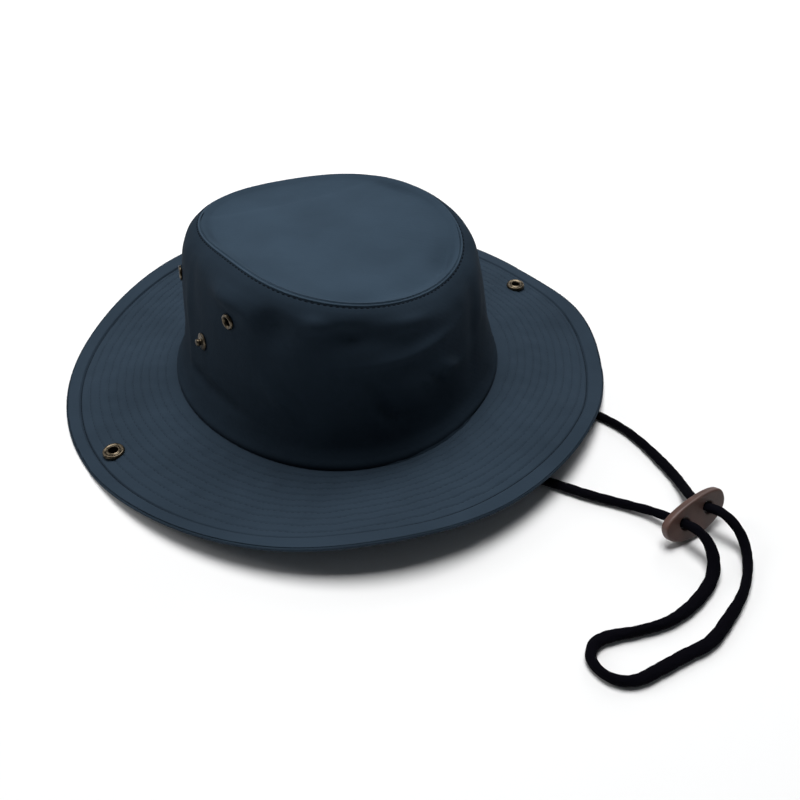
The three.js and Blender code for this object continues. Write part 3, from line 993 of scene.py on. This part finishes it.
@dataclass
class Brim:
    """Wide soft brim with its turned hem and rows of stitching.

    Args:
        form: The hat's surfaces.
        steps: Points round the hat.
        tuck: How far the cloth runs in under the wall.
        hem_fold: Height of the turned hem's step.
        hem_step: Softness of that step.
        hem_sew: How far inside the step the hem is sewn.
        hem_groove: Depth of the hem's sewn groove.
        hem_ease: How much shallower that groove is at the front.
        rows: Distance of each row of stitches from the wall.
        row_groove: Depth and half width of a row's groove.
        pucker: Height of the small puckers.
        crease: Depth of the crease that runs out by the right snap.
    """

    form: HatForm
    steps: int = 480
    tuck: float = 4.5
    hem_fold: float = 0.5
    hem_step: float = 0.25
    hem_sew: float = 0.4
    hem_groove: float = 0.95
    hem_ease: float = 0.6
    rows: tuple[float, ...] = (7.0, 11.6, 16.2, 20.8, 25.2, 29.6, 34.0, 38.6, 43.4, 48.4)
    row_groove: tuple[float, float] = (0.42, 0.5)
    pucker: float = 0.26
    crease: float = 0.9

    def hem_line(self, angle: Array) -> Array:
        """Distance of the turned hem's step from the wall."""
        return self.form.brim_width - between(HEM_WIDTH, np.degrees(angle), 360)

    def relief(self, angle: Array, out: Array) -> Array:
        """Height of the hem, the stitched valleys, the crease and the puckers.

        Args:
            angle: Angle round the hat.
            out: Share of the brim's width.

        Returns:
            Heights in millimetres.
        """
        place = out * self.form.brim_width
        hem_line = self.hem_line(angle)
        height = self.hem_fold / (1 + np.exp(-(place - hem_line) / self.hem_step))
        front = bell((np.degrees(angle) - 262) / 34)
        sewn = bell((place - hem_line + self.hem_sew) / 0.45)
        height = height - (self.hem_groove - self.hem_ease * front) * sewn
        depth, half = self.row_groove
        for row in self.rows:
            height = height - depth * bell((place - row) / half)
        inside = np.clip((place - 3) / 6, 0, 1) * np.clip((hem_line - place) / 5, 0, 1)
        turn = np.mod(np.degrees(angle) + 180, 360) - 180
        crease = self.crease * bell((out - 0.45) / 0.3)
        crease = crease / (1 + np.exp(-(turn + 7) / 1.5)) * bell((turn + 5) / 12)
        return height - crease + self.pucker * inside * wobble(3, angle, out * 3, 9, 60)

    def build(self) -> bpy.types.Object:
        """Makes the brim's cloth, with more points across where the hem is sewn."""
        width = self.form.brim_width
        spots = np.concatenate(
            [
                np.linspace(-self.tuck, 2, 6),
                np.linspace(3, width - 11, 110),
                np.linspace(width - 10.7, width - 6, 19),
                np.linspace(width - 5.4, width, 8),
            ]
        )
        section = Section.lens(spots / width, self.form.brim_thickness, 0.9 / width, base_every=4)
        points, faces = sheet(self.form.brim, section, self.steps, -1, self.relief)
        piece = Piece("brim_cloth", points, faces, Look.BRIM, points[:, :2] * MM)
        return make_outward(piece.build(["brim"]))

    def top(self, angle: Array, out: Array) -> tuple[Array, Array]:
        """Top face of the brim.

        Args:
            angle: Angle round the hat.
            out: Share of the brim's width.

        Returns:
            Points, and the unit vectors square to the cloth there.
        """
        facing = -facing_of(self.form.brim, angle, out)
        lift = self.form.brim_thickness + self.relief(angle, out)
        return self.form.brim(angle, out) + facing * lift[..., None], facing


@dataclass
class CrownSide:
    """Wall of the crown with its soft folds.

    Args:
        form: The hat's surfaces.
        steps: Points round the hat.
        rumple: How much deeper the rumples are than their table says.
        uneven: Height of the wall's fine unevenness.
        flare: How far the foot stands out at the back and sides, at the front beyond that, and how
            much less at the right.
        flare_rise: Share of the wall's height that the flare takes.
        stitch: Distance of the stitches from the tip seam.
        groove: Depth and half width of the groove that they lie in.
    """

    form: HatForm
    steps: int = 500
    rumple: float = 1.6
    uneven: float = 0.16
    flare: tuple[float, float, float] = (0.7, 1.8, 2.2)
    flare_rise: float = 0.1
    stitch: float = 1.45
    groove: tuple[float, float] = (0.35, 0.45)

    def relief(self, angle: Array, rise: Array) -> Array:
        """Rumples of the outer face, its flared foot and the seam's groove.

        Args:
            angle: Angle round the hat.
            rise: Share of the wall's height.

        Returns:
            Heights in millimetres.
        """
        inside = np.clip(rise / 0.1, 0, 1) * np.clip((1 - rise) / 0.06, 0, 1)
        rumples = self.uneven * wobble(11, angle, rise * 2, 7, 22) - 0.1
        rumples = rumples - self.rumple * fold_depth(RUMPLES, angle, rise)
        off = np.linalg.norm((self.form.seam(angle) - self.form.wall(angle, rise))[..., :2], axis=-1)
        turn = np.degrees(angle)
        front = bell((turn - 255) / 60)
        right = bell((np.mod(turn + 180, 360) - 160) / 28)
        base, more, less = self.flare
        flare = (base + more * front - less * right) * bell(rise / self.flare_rise)
        depth, half = self.groove
        return inside * rumples + flare - depth * bell((off - self.stitch) / half)

    def seam_rise(self, angle: Array, off: float) -> Array:
        """Height at which the wall lies a distance off the tip seam.

        Args:
            angle: Angle round the hat.
            off: The distance, in millimetres.

        Returns:
            Shares of the wall's height.
        """
        rises = np.linspace(0.95, 1, 200)[:, None]
        seam = self.form.seam(angle)
        wall = self.form.wall(angle[None, :] + 0 * rises, rises + 0 * angle[None, :])
        gap = np.linalg.norm((wall - seam)[..., :2], axis=-1)
        return rises[np.abs(gap - off).argmin(0), 0]

    def surface(self, angle: Array, rise: Array) -> Array:
        """Outer face with its rumples."""
        spot = self.form.wall(angle, rise)
        return spot + facing_of(self.form.wall, angle, rise) * self.relief(angle, rise)[..., None]

    def build(self) -> bpy.types.Object:
        """Makes the wall's cloth, with more points near the seam."""
        rises = np.concatenate(
            [np.linspace(0, 0.9, 90), np.linspace(0.905, 0.985, 22), np.linspace(0.9865, 1.0, 22)]
        )
        section = Section.lens(rises, self.form.wall_thickness, 0.0008, far_every=4)
        points, faces = sheet(self.surface, section, self.steps, -1)
        angle = np.arctan2(points[:, 1], points[:, 0])
        uv = np.stack([angle * 0.08, points[:, 2] * MM], -1)
        piece = Piece("crown_side_cloth", points, faces, Look.WALL, uv)
        return make_outward(piece.build(["crown_side"]))


@dataclass
class CrownTip:
    """Oval top panel, dished inside its seam.

    Args:
        form: The hat's surfaces.
        steps: Points round the hat.
        crease: Depth of the crease across the panel's rear.
        uneven: Height of the panel's soft unevenness.
        lip: How far the rim reaches out into the seam.
        rim_drop: How far the rim stays below the seam.
        piping_size: Half width and half height of the piping.
    """

    form: HatForm
    steps: int = 360
    crease: float = 1.1
    uneven: float = 0.35
    lip: float = 0.6
    rim_drop: float = 0.35
    piping_size: tuple[float, float] = (0.55, 0.5)

    def surface(self, angle: Array, out: Array) -> Array:
        """Top face with its soft crease, its dents and its raised rim.

        Args:
            angle: Angle round the hat.
            out: Share of the way out to the rim.

        Returns:
            Points.
        """
        spot = self.form.tip(angle, out)
        turn = np.degrees(angle)
        across = spot[..., 0] * 0.126 + spot[..., 1] * 0.992 - 46
        crease = self.crease * bell(across / np.where(across > 0, 10, 4)) * bell(spot[..., 0] / 55)
        rumple = self.uneven * wobble(23, angle, out * 2, 6, 5) * out
        near_rim = bell((out - 0.91) / np.where(out > 0.91, 0.05, 0.12))
        for middle, wide, depth in TIP_DENTS:
            off = (np.mod(turn - middle + 540, 360) - 180) / wide
            rumple = rumple - depth * bell(off) * near_rim
        spot[..., 2] += (rumple - crease) * np.clip((1 - out) / 0.04, 0, 1)
        spot[..., 2] += (self.form.seam_step - self.rim_drop) * np.clip((out - 0.9) / 0.1, 0, 1) ** 2
        lip = self.lip * np.clip((out - 0.97) / 0.03, 0, 1)
        way = spot[..., :2] + self.form.middle
        spot[..., :2] += way / np.linalg.norm(way, axis=-1, keepdims=True) * lip[..., None]
        return spot

    def build(self) -> bpy.types.Object:
        """Makes the tip's cloth, with more points near its rim."""
        outs = np.concatenate(
            [np.linspace(0.004, 0.85, 40), np.linspace(0.86, 0.974, 16), np.linspace(0.978, 1, 12)]
        )
        section = Section.lens(outs, self.form.wall_thickness, 0.006).opened()
        points, faces = sheet(self.surface, section, self.steps, -1, capped=True)
        piece = Piece("crown_tip_cloth", points, faces, Look.TIP, points[:, :2] * MM)
        return make_outward(piece.build(["crown_tip"]))

    def piping(self) -> bpy.types.Object:
        """Makes the thin fold of cloth that stands along the seam, coloured lighter than the tip as a
        painted highlight.
        """
        angle = np.linspace(0, 2 * math.pi, self.steps, endpoint=False)
        turn = np.linspace(0, 2 * math.pi, 12, endpoint=False)
        wide, tall = self.piping_size
        away = self.form.outward(angle)
        middle = self.form.seam(angle) + (0, 0, 0.05)
        middle[:, :2] += 0.3 * away
        around = away[:, None] * (wide * np.cos(turn))[None, :, None]
        lift = np.broadcast_to((tall * np.sin(turn))[None, :, None], (*around.shape[:2], 1))
        points = (middle[:, None] + np.concatenate([around, lift], -1)).reshape(-1, 3)
        faces = ring_faces(self.steps, 12, closed=True)
        return make_outward(Piece("seam_piping_painted_highlight", points, faces, Look.PIPING).build())


class StitchRows:
    """Rows of stitches along lines on the cloth, made with geometry nodes."""

    def __init__(self) -> None:
        """Makes the node tree, ready for any number of rows."""
        self.tree = bpy.data.node_groups.new("stitch_rows", "GeometryNodeTree")
        self.sockets: dict[str, str] = {}
        self._wire()

    def _input(self, name: str, kind: str) -> None:
        """Adds a named input to the tree, and keeps its identifier."""
        socket = self.tree.interface.new_socket(name, in_out="INPUT", socket_type=kind)
        self.sockets[name] = socket.identifier

    def _wire(self) -> None:
        """Sets beads along the lines, square to the cloth, and gives them their thread."""
        tree = self.tree
        self._input("Lines", "NodeSocketGeometry")
        self._input("Pitch", "NodeSocketFloat")
        self._input("Size", "NodeSocketVector")
        self._input("Thread", "NodeSocketMaterial")
        tree.interface.new_socket("Stitches", in_out="OUTPUT", socket_type="NodeSocketGeometry")
        nodes, link = tree.nodes, tree.links.new
        given = nodes.new("NodeGroupInput")
        result = nodes.new("NodeGroupOutput")
        curve = nodes.new("GeometryNodeMeshToCurve")
        spaced = nodes.new("GeometryNodeResampleCurve")
        spaced.mode = "LENGTH"
        bead = nodes.new("GeometryNodeMeshUVSphere")
        bead.inputs["Segments"].default_value = 8
        bead.inputs["Rings"].default_value = 5
        bead.inputs["Radius"].default_value = 0.5
        sized = nodes.new("GeometryNodeTransform")
        facing = nodes.new("GeometryNodeInputNamedAttribute")
        facing.data_type = "FLOAT_VECTOR"
        facing.inputs["Name"].default_value = "facing"
        tangent = nodes.new("GeometryNodeInputTangent")
        upright = nodes.new("FunctionNodeAlignRotationToVector")
        upright.axis = "Z"
        along = nodes.new("FunctionNodeAlignRotationToVector")
        along.axis = "X"
        along.pivot_axis = "Z"
        placed = nodes.new("GeometryNodeInstanceOnPoints")
        real = nodes.new("GeometryNodeRealizeInstances")
        coloured = nodes.new("GeometryNodeSetMaterial")
        link(given.outputs["Lines"], curve.inputs["Mesh"])
        link(curve.outputs["Curve"], spaced.inputs["Curve"])
        link(given.outputs["Pitch"], spaced.inputs["Length"])
        link(bead.outputs["Mesh"], sized.inputs["Geometry"])
        link(given.outputs["Size"], sized.inputs["Scale"])
        link(facing.outputs["Attribute"], upright.inputs["Vector"])
        link(upright.outputs["Rotation"], along.inputs["Rotation"])
        link(tangent.outputs["Tangent"], along.inputs["Vector"])
        link(spaced.outputs["Curve"], placed.inputs["Points"])
        link(sized.outputs["Geometry"], placed.inputs["Instance"])
        link(along.outputs["Rotation"], placed.inputs["Rotation"])
        link(placed.outputs["Instances"], real.inputs["Geometry"])
        link(real.outputs["Geometry"], coloured.inputs["Geometry"])
        link(given.outputs["Thread"], coloured.inputs["Material"])
        link(coloured.outputs["Geometry"], result.inputs["Stitches"])

    def build(
        self,
        name: str,
        lines: list[tuple[Array, Array]],
        pitch: float,
        size: Triple,
        look: Look,
    ) -> bpy.types.Object:
        """Makes closed rows of stitches.

        Args:
            name: Object's name.
            lines: Points and facing vectors of each closed line, in millimetres.
            pitch: Distance from stitch to stitch, in millimetres.
            size: Length, width and height of a stitch, in millimetres.
            look: The thread's finish.

        Returns:
            The stitches as one plain mesh.
        """
        mesh = bpy.data.meshes.new(name + "_lines")
        points = np.concatenate([line for line, _ in lines]) * MM
        edges, start = [], 0
        for line, _ in lines:
            count = len(line)
            edges += [(start + i, start + (i + 1) % count) for i in range(count)]
            start += count
        mesh.from_pydata(points.tolist(), edges, [])
        facing = np.concatenate([square for _, square in lines]).astype(np.float32)
        held = mesh.attributes.new("facing", "FLOAT_VECTOR", "POINT")
        held.data.foreach_set("vector", facing.ravel())
        source = bpy.data.objects.new(name, mesh)
        bpy.context.scene.collection.objects.link(source)
        modifier = source.modifiers.new("stitches", "NODES")
        modifier.node_group = self.tree
        modifier[self.sockets["Pitch"]] = pitch * MM
        modifier[self.sockets["Size"]] = tuple(s * MM for s in size)
        modifier[self.sockets["Thread"]] = look.value.material()
        graph = bpy.context.evaluated_depsgraph_get()
        plain = bpy.data.meshes.new_from_object(source.evaluated_get(graph))
        source.modifiers.remove(modifier)
        source.data = plain
        return dress(source, look)


def turned(
    name: str,
    profile: Profile,
    spot: Array,
    facing: Array,
    look: Look,
    steps: int = 48,
) -> Piece:
    """Turned piece.

    Args:
        name: Piece's name.
        profile: Radius and height of each point, in millimetres.
        spot: Where its origin goes.
        facing: Where its axis points.
        look: Its finish.
        steps: Points round the axis.

    Returns:
        The piece, closed where its profile starts and ends on the axis or on itself.
    """
    turn = Vector((0, 0, 1)).rotation_difference(Vector(facing)).to_matrix()
    angle = np.linspace(0, 2 * math.pi, steps, endpoint=False)
    whole = profile[0] == profile[-1]
    rows = profile[:-1] if whole else profile
    points = []
    for radius, height in rows:
        radius = max(radius, 0.01)
        points += [(radius * math.cos(a), radius * math.sin(a), height) for a in angle]
    faces = ring_faces(len(rows), steps, closed=whole)
    if not whole:
        faces.append(tuple(range(steps))[::-1])
        faces.append(tuple(range((len(rows) - 1) * steps, len(rows) * steps)))
    placed = np.array(points) @ np.array(turn).T + np.asarray(spot)
    return Piece(name, placed, faces, look)


def rounded(corners: Profile, reach: float, count: int = 4) -> Profile:
    """Profile with its inner corners rounded.

    Args:
        corners: Radius and height of each corner.
        reach: How far the rounding reaches from a corner, in millimetres.
        count: Points in a rounding.

    Returns:
        The profile with the roundings in it.
    """
    line = np.array(corners, float)
    made = [tuple(line[0])]
    for before, corner, after in zip(line, line[1:], line[2:]):
        near = corner + (before - corner) * min(0.45, reach / np.linalg.norm(before - corner))
        far = corner + (after - corner) * min(0.45, reach / np.linalg.norm(after - corner))
        for t in np.linspace(0, 1, count):
            made.append(tuple((1 - t) ** 2 * near + 2 * t * (1 - t) * corner + t**2 * far))
    made.append(tuple(line[-1]))
    return made


@dataclass
class Fittings:
    """Brass snaps, studs and eyelets, square to the cloth.

    Args:
        form: The hat's surfaces.
        stud_rise: Share of the wall's height at which a stud sits.
        eyelet_front: Turn of the front eyelet from the stud, and its share of the wall's height.
        eyelet_back: The same for the back eyelet.
        seat: Gap between the cloth and a fitting's back.
    """

    form: HatForm
    stud_rise: float = 0.48
    eyelet_front: tuple[float, float] = (17.5, 0.752)
    eyelet_back: tuple[float, float] = (-28.0, 0.715)
    seat: float = 0.45

    def build(self) -> list[bpy.types.Object]:
        """Makes all the fittings."""
        made = []
        for side, angle in (("left", math.pi), ("right", 0.0)):
            made += self._snap(side)
            made.append(self._stud(side, angle))
            way = 1 if side == "left" else -1
            for end, (turn, rise) in (("front", self.eyelet_front), ("back", self.eyelet_back)):
                made += self._eyelet(f"eyelet_{side}_{end}", angle + way * math.radians(turn), rise)
        return made

    def _wall_place(self, angle: float, rise: float) -> tuple[Array, Array]:
        """Point on the wall, and the unit vector square to it."""
        at = np.array([angle]), np.array([rise])
        return self.form.wall(*at)[0], facing_of(self.form.wall, *at)[0]

    def _back(self, thickness: float) -> Profile:
        """Profile of the closing disc behind the cloth, and of the post through it."""
        near = -thickness - self.seat
        return [(0, near - 0.9), (4.8, near - 0.9), (5.4, near - 0.45), (5.4, near), (1.9, near)]

    def _snap(self, side: str) -> list[bpy.types.Object]:
        """Makes a snap of the brim, with a near-black plug in its mouth as painted shade.

        Args:
            side: Side of the hat, left or right.

        Returns:
            The snap and the painted-shade plug in its mouth.
        """
        turn, from_edge = SOCKETS[side]
        at = np.radians([turn]), np.array([1 - from_edge / self.form.brim_width])
        facing = -facing_of(self.form.brim, *at)[0]
        spot = self.form.brim(*at)[0] + facing * self.form.brim_thickness
        level = np.array((0.0, 0.0, 1.0))
        profile = rounded([*self._back(self.form.brim_thickness), *SNAP_CAP], CORNER)
        snap = turned(f"snap_{side}", profile, spot, level, Look.BRASS)
        mouth = turned(f"snap_{side}_mouth", SNAP_MOUTH_SHADE, spot, level, Look.WELL)
        return [make_outward(snap.build([f"brim_snap_{side}"])), make_outward(mouth.build())]

    def _stud(self, side: str, angle: float) -> bpy.types.Object:
        """Makes a stud of the crown.

        Args:
            side: Side of the hat, left or right.
            angle: Angle round the hat.

        Returns:
            The stud.
        """
        spot, facing = self._wall_place(angle, self.stud_rise)
        profile = rounded([*self._back(self.form.wall_thickness), *STUD_CAP], CORNER)
        piece = turned(f"stud_{side}", profile, spot, facing, Look.BRASS)
        return make_outward(piece.build([f"crown_stud_{side}"]))

    def _eyelet(self, node: str, angle: float, rise: float) -> list[bpy.types.Object]:
        """Makes an eyelet of the crown, with a near-black plug in its bore as painted shade.

        Args:
            node: The eyelet's CAD node.
            angle: Angle round the hat.
            rise: Share of the wall's height.

        Returns:
            The eyelet and its well.
        """
        spot, facing = self._wall_place(angle, rise)
        facing = facing * (1, 1, 0.2)
        facing /= np.linalg.norm(facing)
        near = -self.form.wall_thickness - self.seat
        start = (2.1, near - 0.6)
        barrel = [start, (4.2, near - 0.6), (4.2, near), (2.5, near), (2.5, 0.1)]
        brass = turned(f"brass_{node}", [*barrel, *EYELET_RIM, start], spot, facing, Look.BRASS)
        well = turned(f"well_{node}", EYELET_WELL_SHADE, spot, facing, Look.WELL)
        return [make_outward(brass.build([node])), make_outward(well.build())]


@dataclass
class ChinCord:
    """Braided chin cord laid along the floor, with its slider.

    Args:
        form: The hat's surfaces.
        around: Points round the cord.
        spacing: Distance between the rings of points.
        radius: The cord's radius.
        end_height: Height of its two ends inside the crown.
        end_gap: Gap between an end and the inside of the wall.
        lay: Length in which a strand runs once round the cord.
        strands: Strands that run each way.
        strand_relief: How far a strand stands out.
    """

    form: HatForm
    around: int = 32
    spacing: float = 0.42
    radius: float = 2.5
    end_height: float = 13.0
    end_gap: float = 0.9
    lay: float = 9.0
    strands: int = 4
    strand_relief: float = 0.2

    def _ends(self) -> list[tuple[float, float, float]]:
        """The cord's two ends, inside the crown's wall."""
        ends = []
        for angle in (math.pi, 0.0):
            rise = (self.end_height + self.radius - self.form.wall_foot) / self.form.crown_height
            spot = self.form.wall(np.array([angle]), np.array([rise]))[0]
            spot[:2] += self.form.middle
            x = math.copysign(abs(spot[0]) - self.form.wall_thickness - self.end_gap, spot[0])
            ends.append((x, spot[1], self.end_height))
        return ends

    def route(self) -> tuple[Array, Array]:
        """Middle line of the cord, evenly spaced, and its width there, in millimetres."""
        start, end = self._ends()
        knots = np.array([start, *CORD_ROUTE, end])
        knots[:, :2] -= self.form.middle
        gaps = np.linalg.norm(np.diff(knots, axis=0), axis=1)
        keys = np.insert(np.cumsum(gaps), 0, 0)
        places = np.linspace(0, keys[-1], 6000)
        fine = between(np.column_stack([keys, knots]), places)
        run = np.insert(np.cumsum(np.linalg.norm(np.diff(fine, axis=0), axis=1)), 0, 0)
        even = np.linspace(0, run[-1], int(run[-1] / self.spacing))
        width = np.interp(places, keys, between(CORD_WIDTH, np.arange(len(knots))))
        line = np.stack([np.interp(even, run, fine[:, i]) for i in range(3)], -1)
        return line, np.interp(even, run, width)

    def _skin(self, line: Array, width: Array) -> Array:
        """Braided skin of the cord.

        Args:
            line: Its middle line.
            width: Its width at each point of the line.

        Returns:
            Points, ring after ring.
        """
        flat = (width / (2 * self.radius))[:, None]
        ahead = np.gradient(line, axis=0)
        ahead /= np.linalg.norm(ahead, axis=1, keepdims=True)
        side = np.cross(ahead, (0, 0, 1))
        side /= np.linalg.norm(side, axis=1, keepdims=True)
        up = np.cross(side, ahead)
        along = (np.arange(len(line)) * self.spacing)[:, None]
        turn = np.linspace(0, 2 * math.pi, self.around, endpoint=False)[None, :]
        lay = 2 * math.pi * along / self.lay
        left, right = np.cos(self.strands * turn + lay), np.cos(self.strands * turn - lay)
        plait = np.maximum(left, right) * 0.5 + 0.15 * np.cos(2 * self.strands * turn) * np.cos(2 * lay)
        radius = self.radius - 0.22 + self.strand_relief * plait
        wide = radius * np.cos(turn) * 1.03 * flat
        high = radius * np.sin(turn) * np.clip(1.9 - flat, 0.7, 1)
        points = line[:, None] + side[:, None] * wide[..., None] + up[:, None] * high[..., None]
        return np.maximum(points, (-1e9, -1e9, 0.05)).reshape(-1, 3)

    def build(self, slider: bpy.types.Object) -> bpy.types.Object:
        """Makes the cord.

        Args:
            slider: The plate on the cord; not used.

        Returns:
            The cord.
        """
        line, width = self.route()
        points = self._skin(line, width)
        faces = ring_faces(len(line), self.around, closed=False)
        faces.append(tuple(range(self.around))[::-1])
        faces.append(tuple(range((len(line) - 1) * self.around, len(line) * self.around)))
        piece = Piece("chin_cord_braid", points, faces, Look.BRAID)
        made = make_outward(piece.build(["chin_cord"]))
        return made


@dataclass
class Slider:
    """Half-moon plate with two holes for the cord.

    Args:
        form: The hat's surfaces.
        size: Length, width and thickness of the plate.
        bevel: Reach of its rounded edges.
        flat_side: Share of the width that its flatter side takes.
        hole_spacing: Distance between the holes.
        hole_radius: Radius of a hole.
        middle: Where the plate lies.
        long_axis: Which way its length points.
        face_axis: Which way its face looks.
    """

    form: HatForm
    size: Triple = (37.4, 20.2, 4.4)
    bevel: float = 1.1
    flat_side: float = 0.39
    hole_spacing: float = 15.2
    hole_radius: float = 2.8
    middle: Triple = (68.4, -204.3, 10.0)
    long_axis: Triple = (0.992, -0.003, 0.129)
    face_axis: Triple = (-0.059, -0.902, 0.43)

    def _outline(self) -> bpy.types.Curve:
        """The plate's outline and holes as a filled, bevelled curve."""
        wide, tall, thick = self.size
        curve = bpy.data.curves.new("slider", "CURVE")
        curve.dimensions = "2D"
        curve.fill_mode = "BOTH"
        curve.extrude = (thick / 2 - self.bevel) * MM
        curve.bevel_depth = self.bevel * MM
        curve.bevel_resolution = 4
        turn = np.linspace(0, 2 * math.pi, 96, endpoint=False)
        power = np.where(np.sin(turn) > 0, 0.6, 1.0)
        x = (wide / 2 - self.bevel) * np.cos(turn)
        half = np.where(np.sin(turn) > 0, tall * self.flat_side, tall * 0.5) - self.bevel
        y = half * np.sign(np.sin(turn)) * np.abs(np.sin(turn)) ** power
        self._loop(curve, x, y)
        radius = self.hole_radius + self.bevel
        for way in (-1, 1):
            middle = way * self.hole_spacing / 2
            self._loop(curve, middle + radius * np.cos(-turn[::2]), radius * np.sin(-turn[::2]))
        return curve

    def build(self) -> bpy.types.Object:
        """Makes the slider and puts it on the cord."""
        source = bpy.data.objects.new("slider", self._outline())
        bpy.context.scene.collection.objects.link(source)
        graph = bpy.context.evaluated_depsgraph_get()
        mesh = bpy.data.meshes.new_from_object(source.evaluated_get(graph))
        bpy.data.objects.remove(source)
        along = Vector(self.long_axis).normalized()
        out = Vector(self.face_axis)
        out = (out - along * out.dot(along)).normalized()
        frame = Matrix((along, out.cross(along), out)).transposed().to_4x4()
        spot = np.array(self.middle)
        spot[:2] -= self.form.middle
        mesh.transform(Matrix.Translation(Vector(spot) * MM) @ frame)
        mesh.polygons.foreach_set("use_smooth", [True] * len(mesh.polygons))
        made = bpy.data.objects.new("slider_plate", mesh)
        bpy.context.scene.collection.objects.link(made)
        return make_outward(dress(made, Look.LEATHER, ["cord_slider"]))

    @staticmethod
    def _loop(curve: bpy.types.Curve, x: Array, y: Array) -> None:
        """Adds a closed line to a curve.

        Args:
            curve: The curve.
            x: First coordinates, in millimetres.
            y: Second coordinates, in millimetres.
        """
        spline = curve.splines.new("POLY")
        spline.points.add(len(x) - 1)
        flat = np.column_stack([x * MM, y * MM, 0 * x, 0 * x + 1])
        spline.points.foreach_set("co", flat.astype(np.float32).ravel())
        spline.use_cyclic_u = True


@dataclass
class Studio:
    """Camera, pale floor and soft lights. The camera's place is in millimetres.

    Args:
        azimuth: The camera's turn from the front, in degrees.
        elevation: Its height angle, in degrees.
        roll: Its roll, in degrees.
        distance: Its distance from the target.
        target: The point that it looks at.
        lens: Focal length.
        floor_reach: Half the floor's width, in metres.
        world_strength: Strength of the even light from all sides.
    """

    azimuth: float = -34.67
    elevation: float = 40.487
    roll: float = -0.205
    distance: float = 503.86
    target: Triple = (11.57, -47.71, -2.66)
    lens: float = 40.70
    floor_reach: float = 6.0
    world_strength: float = 0.075

    def camera(self) -> None:
        """Places the camera at the photo's angle."""
        a, e, roll = (math.radians(x) for x in (self.azimuth, self.elevation, self.roll))
        back = Vector((math.sin(a) * math.cos(e), -math.cos(a) * math.cos(e), math.sin(e)))
        right = Vector((math.cos(a), math.sin(a), 0))
        up = back.cross(right)
        turned_right = right * math.cos(roll) + up * math.sin(roll)
        turned_up = back.cross(turned_right)
        data = bpy.data.cameras.new("camera")
        data.sensor_width = 36
        data.lens = self.lens
        data.clip_start = 0.01
        made = bpy.data.objects.new("camera", data)
        made.matrix_world = Matrix((turned_right, turned_up, back)).transposed().to_4x4()
        made.location = (Vector(self.target) + back * self.distance) * MM
        bpy.context.scene.collection.objects.link(made)
        bpy.context.scene.camera = made

    def floor(self) -> None:
        """Lays the floor."""
        far = self.floor_reach
        corners = [(-far, -far, 0), (far, -far, 0), (far, far, 0), (-far, far, 0)]
        mesh = bpy.data.meshes.new("floor")
        mesh.from_pydata(corners, [], [(0, 1, 2, 3)])
        mesh.materials.append(Look.FLOOR.value.material())
        made = bpy.data.objects.new("floor", mesh)
        bpy.context.scene.collection.objects.link(made)

    def light(self, name: str, spot: Triple, size: float, power: float) -> None:
        """Hangs a soft square light that looks at the hat.

        Args:
            name: The light's name.
            spot: Where it hangs, in metres.
            size: Its width, in metres.
            power: Its power, in watts.
        """
        data = bpy.data.lights.new(name, "AREA")
        data.size = size
        data.energy = power
        made = bpy.data.objects.new(name, data)
        made.location = spot
        made.rotation_euler = (-Vector(spot)).to_track_quat("-Z", "Y").to_euler()
        bpy.context.scene.collection.objects.link(made)

    def build(self) -> None:
        """Sets the floor, the lights and the colour handling."""
        self.floor()
        for name, spot, size, power in LIGHTS:
            self.light(name, spot, size, power)
        world = bpy.data.worlds.new("world")
        world.use_nodes = True
        background = world.node_tree.nodes["Background"]
        background.inputs["Color"].default_value = (0.9, 0.95, 1.0, 1)
        background.inputs["Strength"].default_value = self.world_strength
        scene = bpy.context.scene
        scene.world = world
        scene.view_settings.view_transform = "Standard"


@dataclass
class Stitching:
    """Thread of the brim's rows, of the hem and of the tip's seam.

    Args:
        brim: The brim that is sewn.
        crown: The wall that is sewn.
        steps: Points of a line round the hat.
        row: Pitch, then length, width and height of a stitch in the brim's rows.
        hem: The same for the hem, whose stitches overlap into one dark line that is partly a seam and
            partly painted shade of the fold.
        seam: The same for the tip's seam.
    """

    brim: Brim
    crown: CrownSide
    steps: int = 480
    row: tuple[float, Triple] = (3.0, (2.1, 0.42, 0.3))
    hem: tuple[float, Triple] = (2.2, (2.8, 0.5, 0.4))
    seam: tuple[float, Triple] = (2.9, (1.9, 0.85, 0.6))

    def build(self) -> list[bpy.types.Object]:
        """Sews the brim's rows, its hem and the seam at the tip."""
        rows = StitchRows()
        width = self.brim.form.brim_width
        angle = np.linspace(0, 2 * math.pi, self.steps, endpoint=False)
        lines = [self.brim.top(angle, (place + 0 * angle) / width) for place in self.brim.rows]
        # The hem's overlapping stitches make one continuous dark line: a seam and painted shade of the
        # hem's fold.
        hem = [self.brim.top(angle, (self.brim.hem_line(angle) - self.brim.hem_sew) / width)]
        rise = self.crown.seam_rise(angle, self.crown.stitch)
        facing = facing_of(self.crown.form.wall, angle, rise)
        seam = [(self.crown.surface(angle, rise), facing)]
        return [
            rows.build("brim_stitches", lines, *self.row, Look.THREAD),
            rows.build("hem_seam_and_shade_line", hem, *self.hem, Look.SEAM_THREAD),
            rows.build("seam_stitches", seam, *self.seam, Look.SEAM_THREAD),
        ]


def report(*pieces: bpy.types.Object) -> None:
    """Logs the pieces that have been made."""
    for piece in pieces:
        LOG.info("%s has %d faces", piece.name, len(piece.data.polygons))


def main() -> None:
    """Builds the hat and its studio."""
    logging.basicConfig(level=logging.INFO)
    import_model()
    studio = Studio()
    studio.camera()
    form = HatForm()
    slider = Slider(form).build()
    report(slider, ChinCord(form).build(slider))
    brim = Brim(form)
    report(brim.build())
    crown = CrownSide(form)
    report(crown.build())
    tip = CrownTip(form)
    report(tip.build(), tip.piping())
    report(*Fittings(form).build())
    report(*Stitching(brim, crown).build())
    studio.build()


if __name__ == "__main__":
    main()
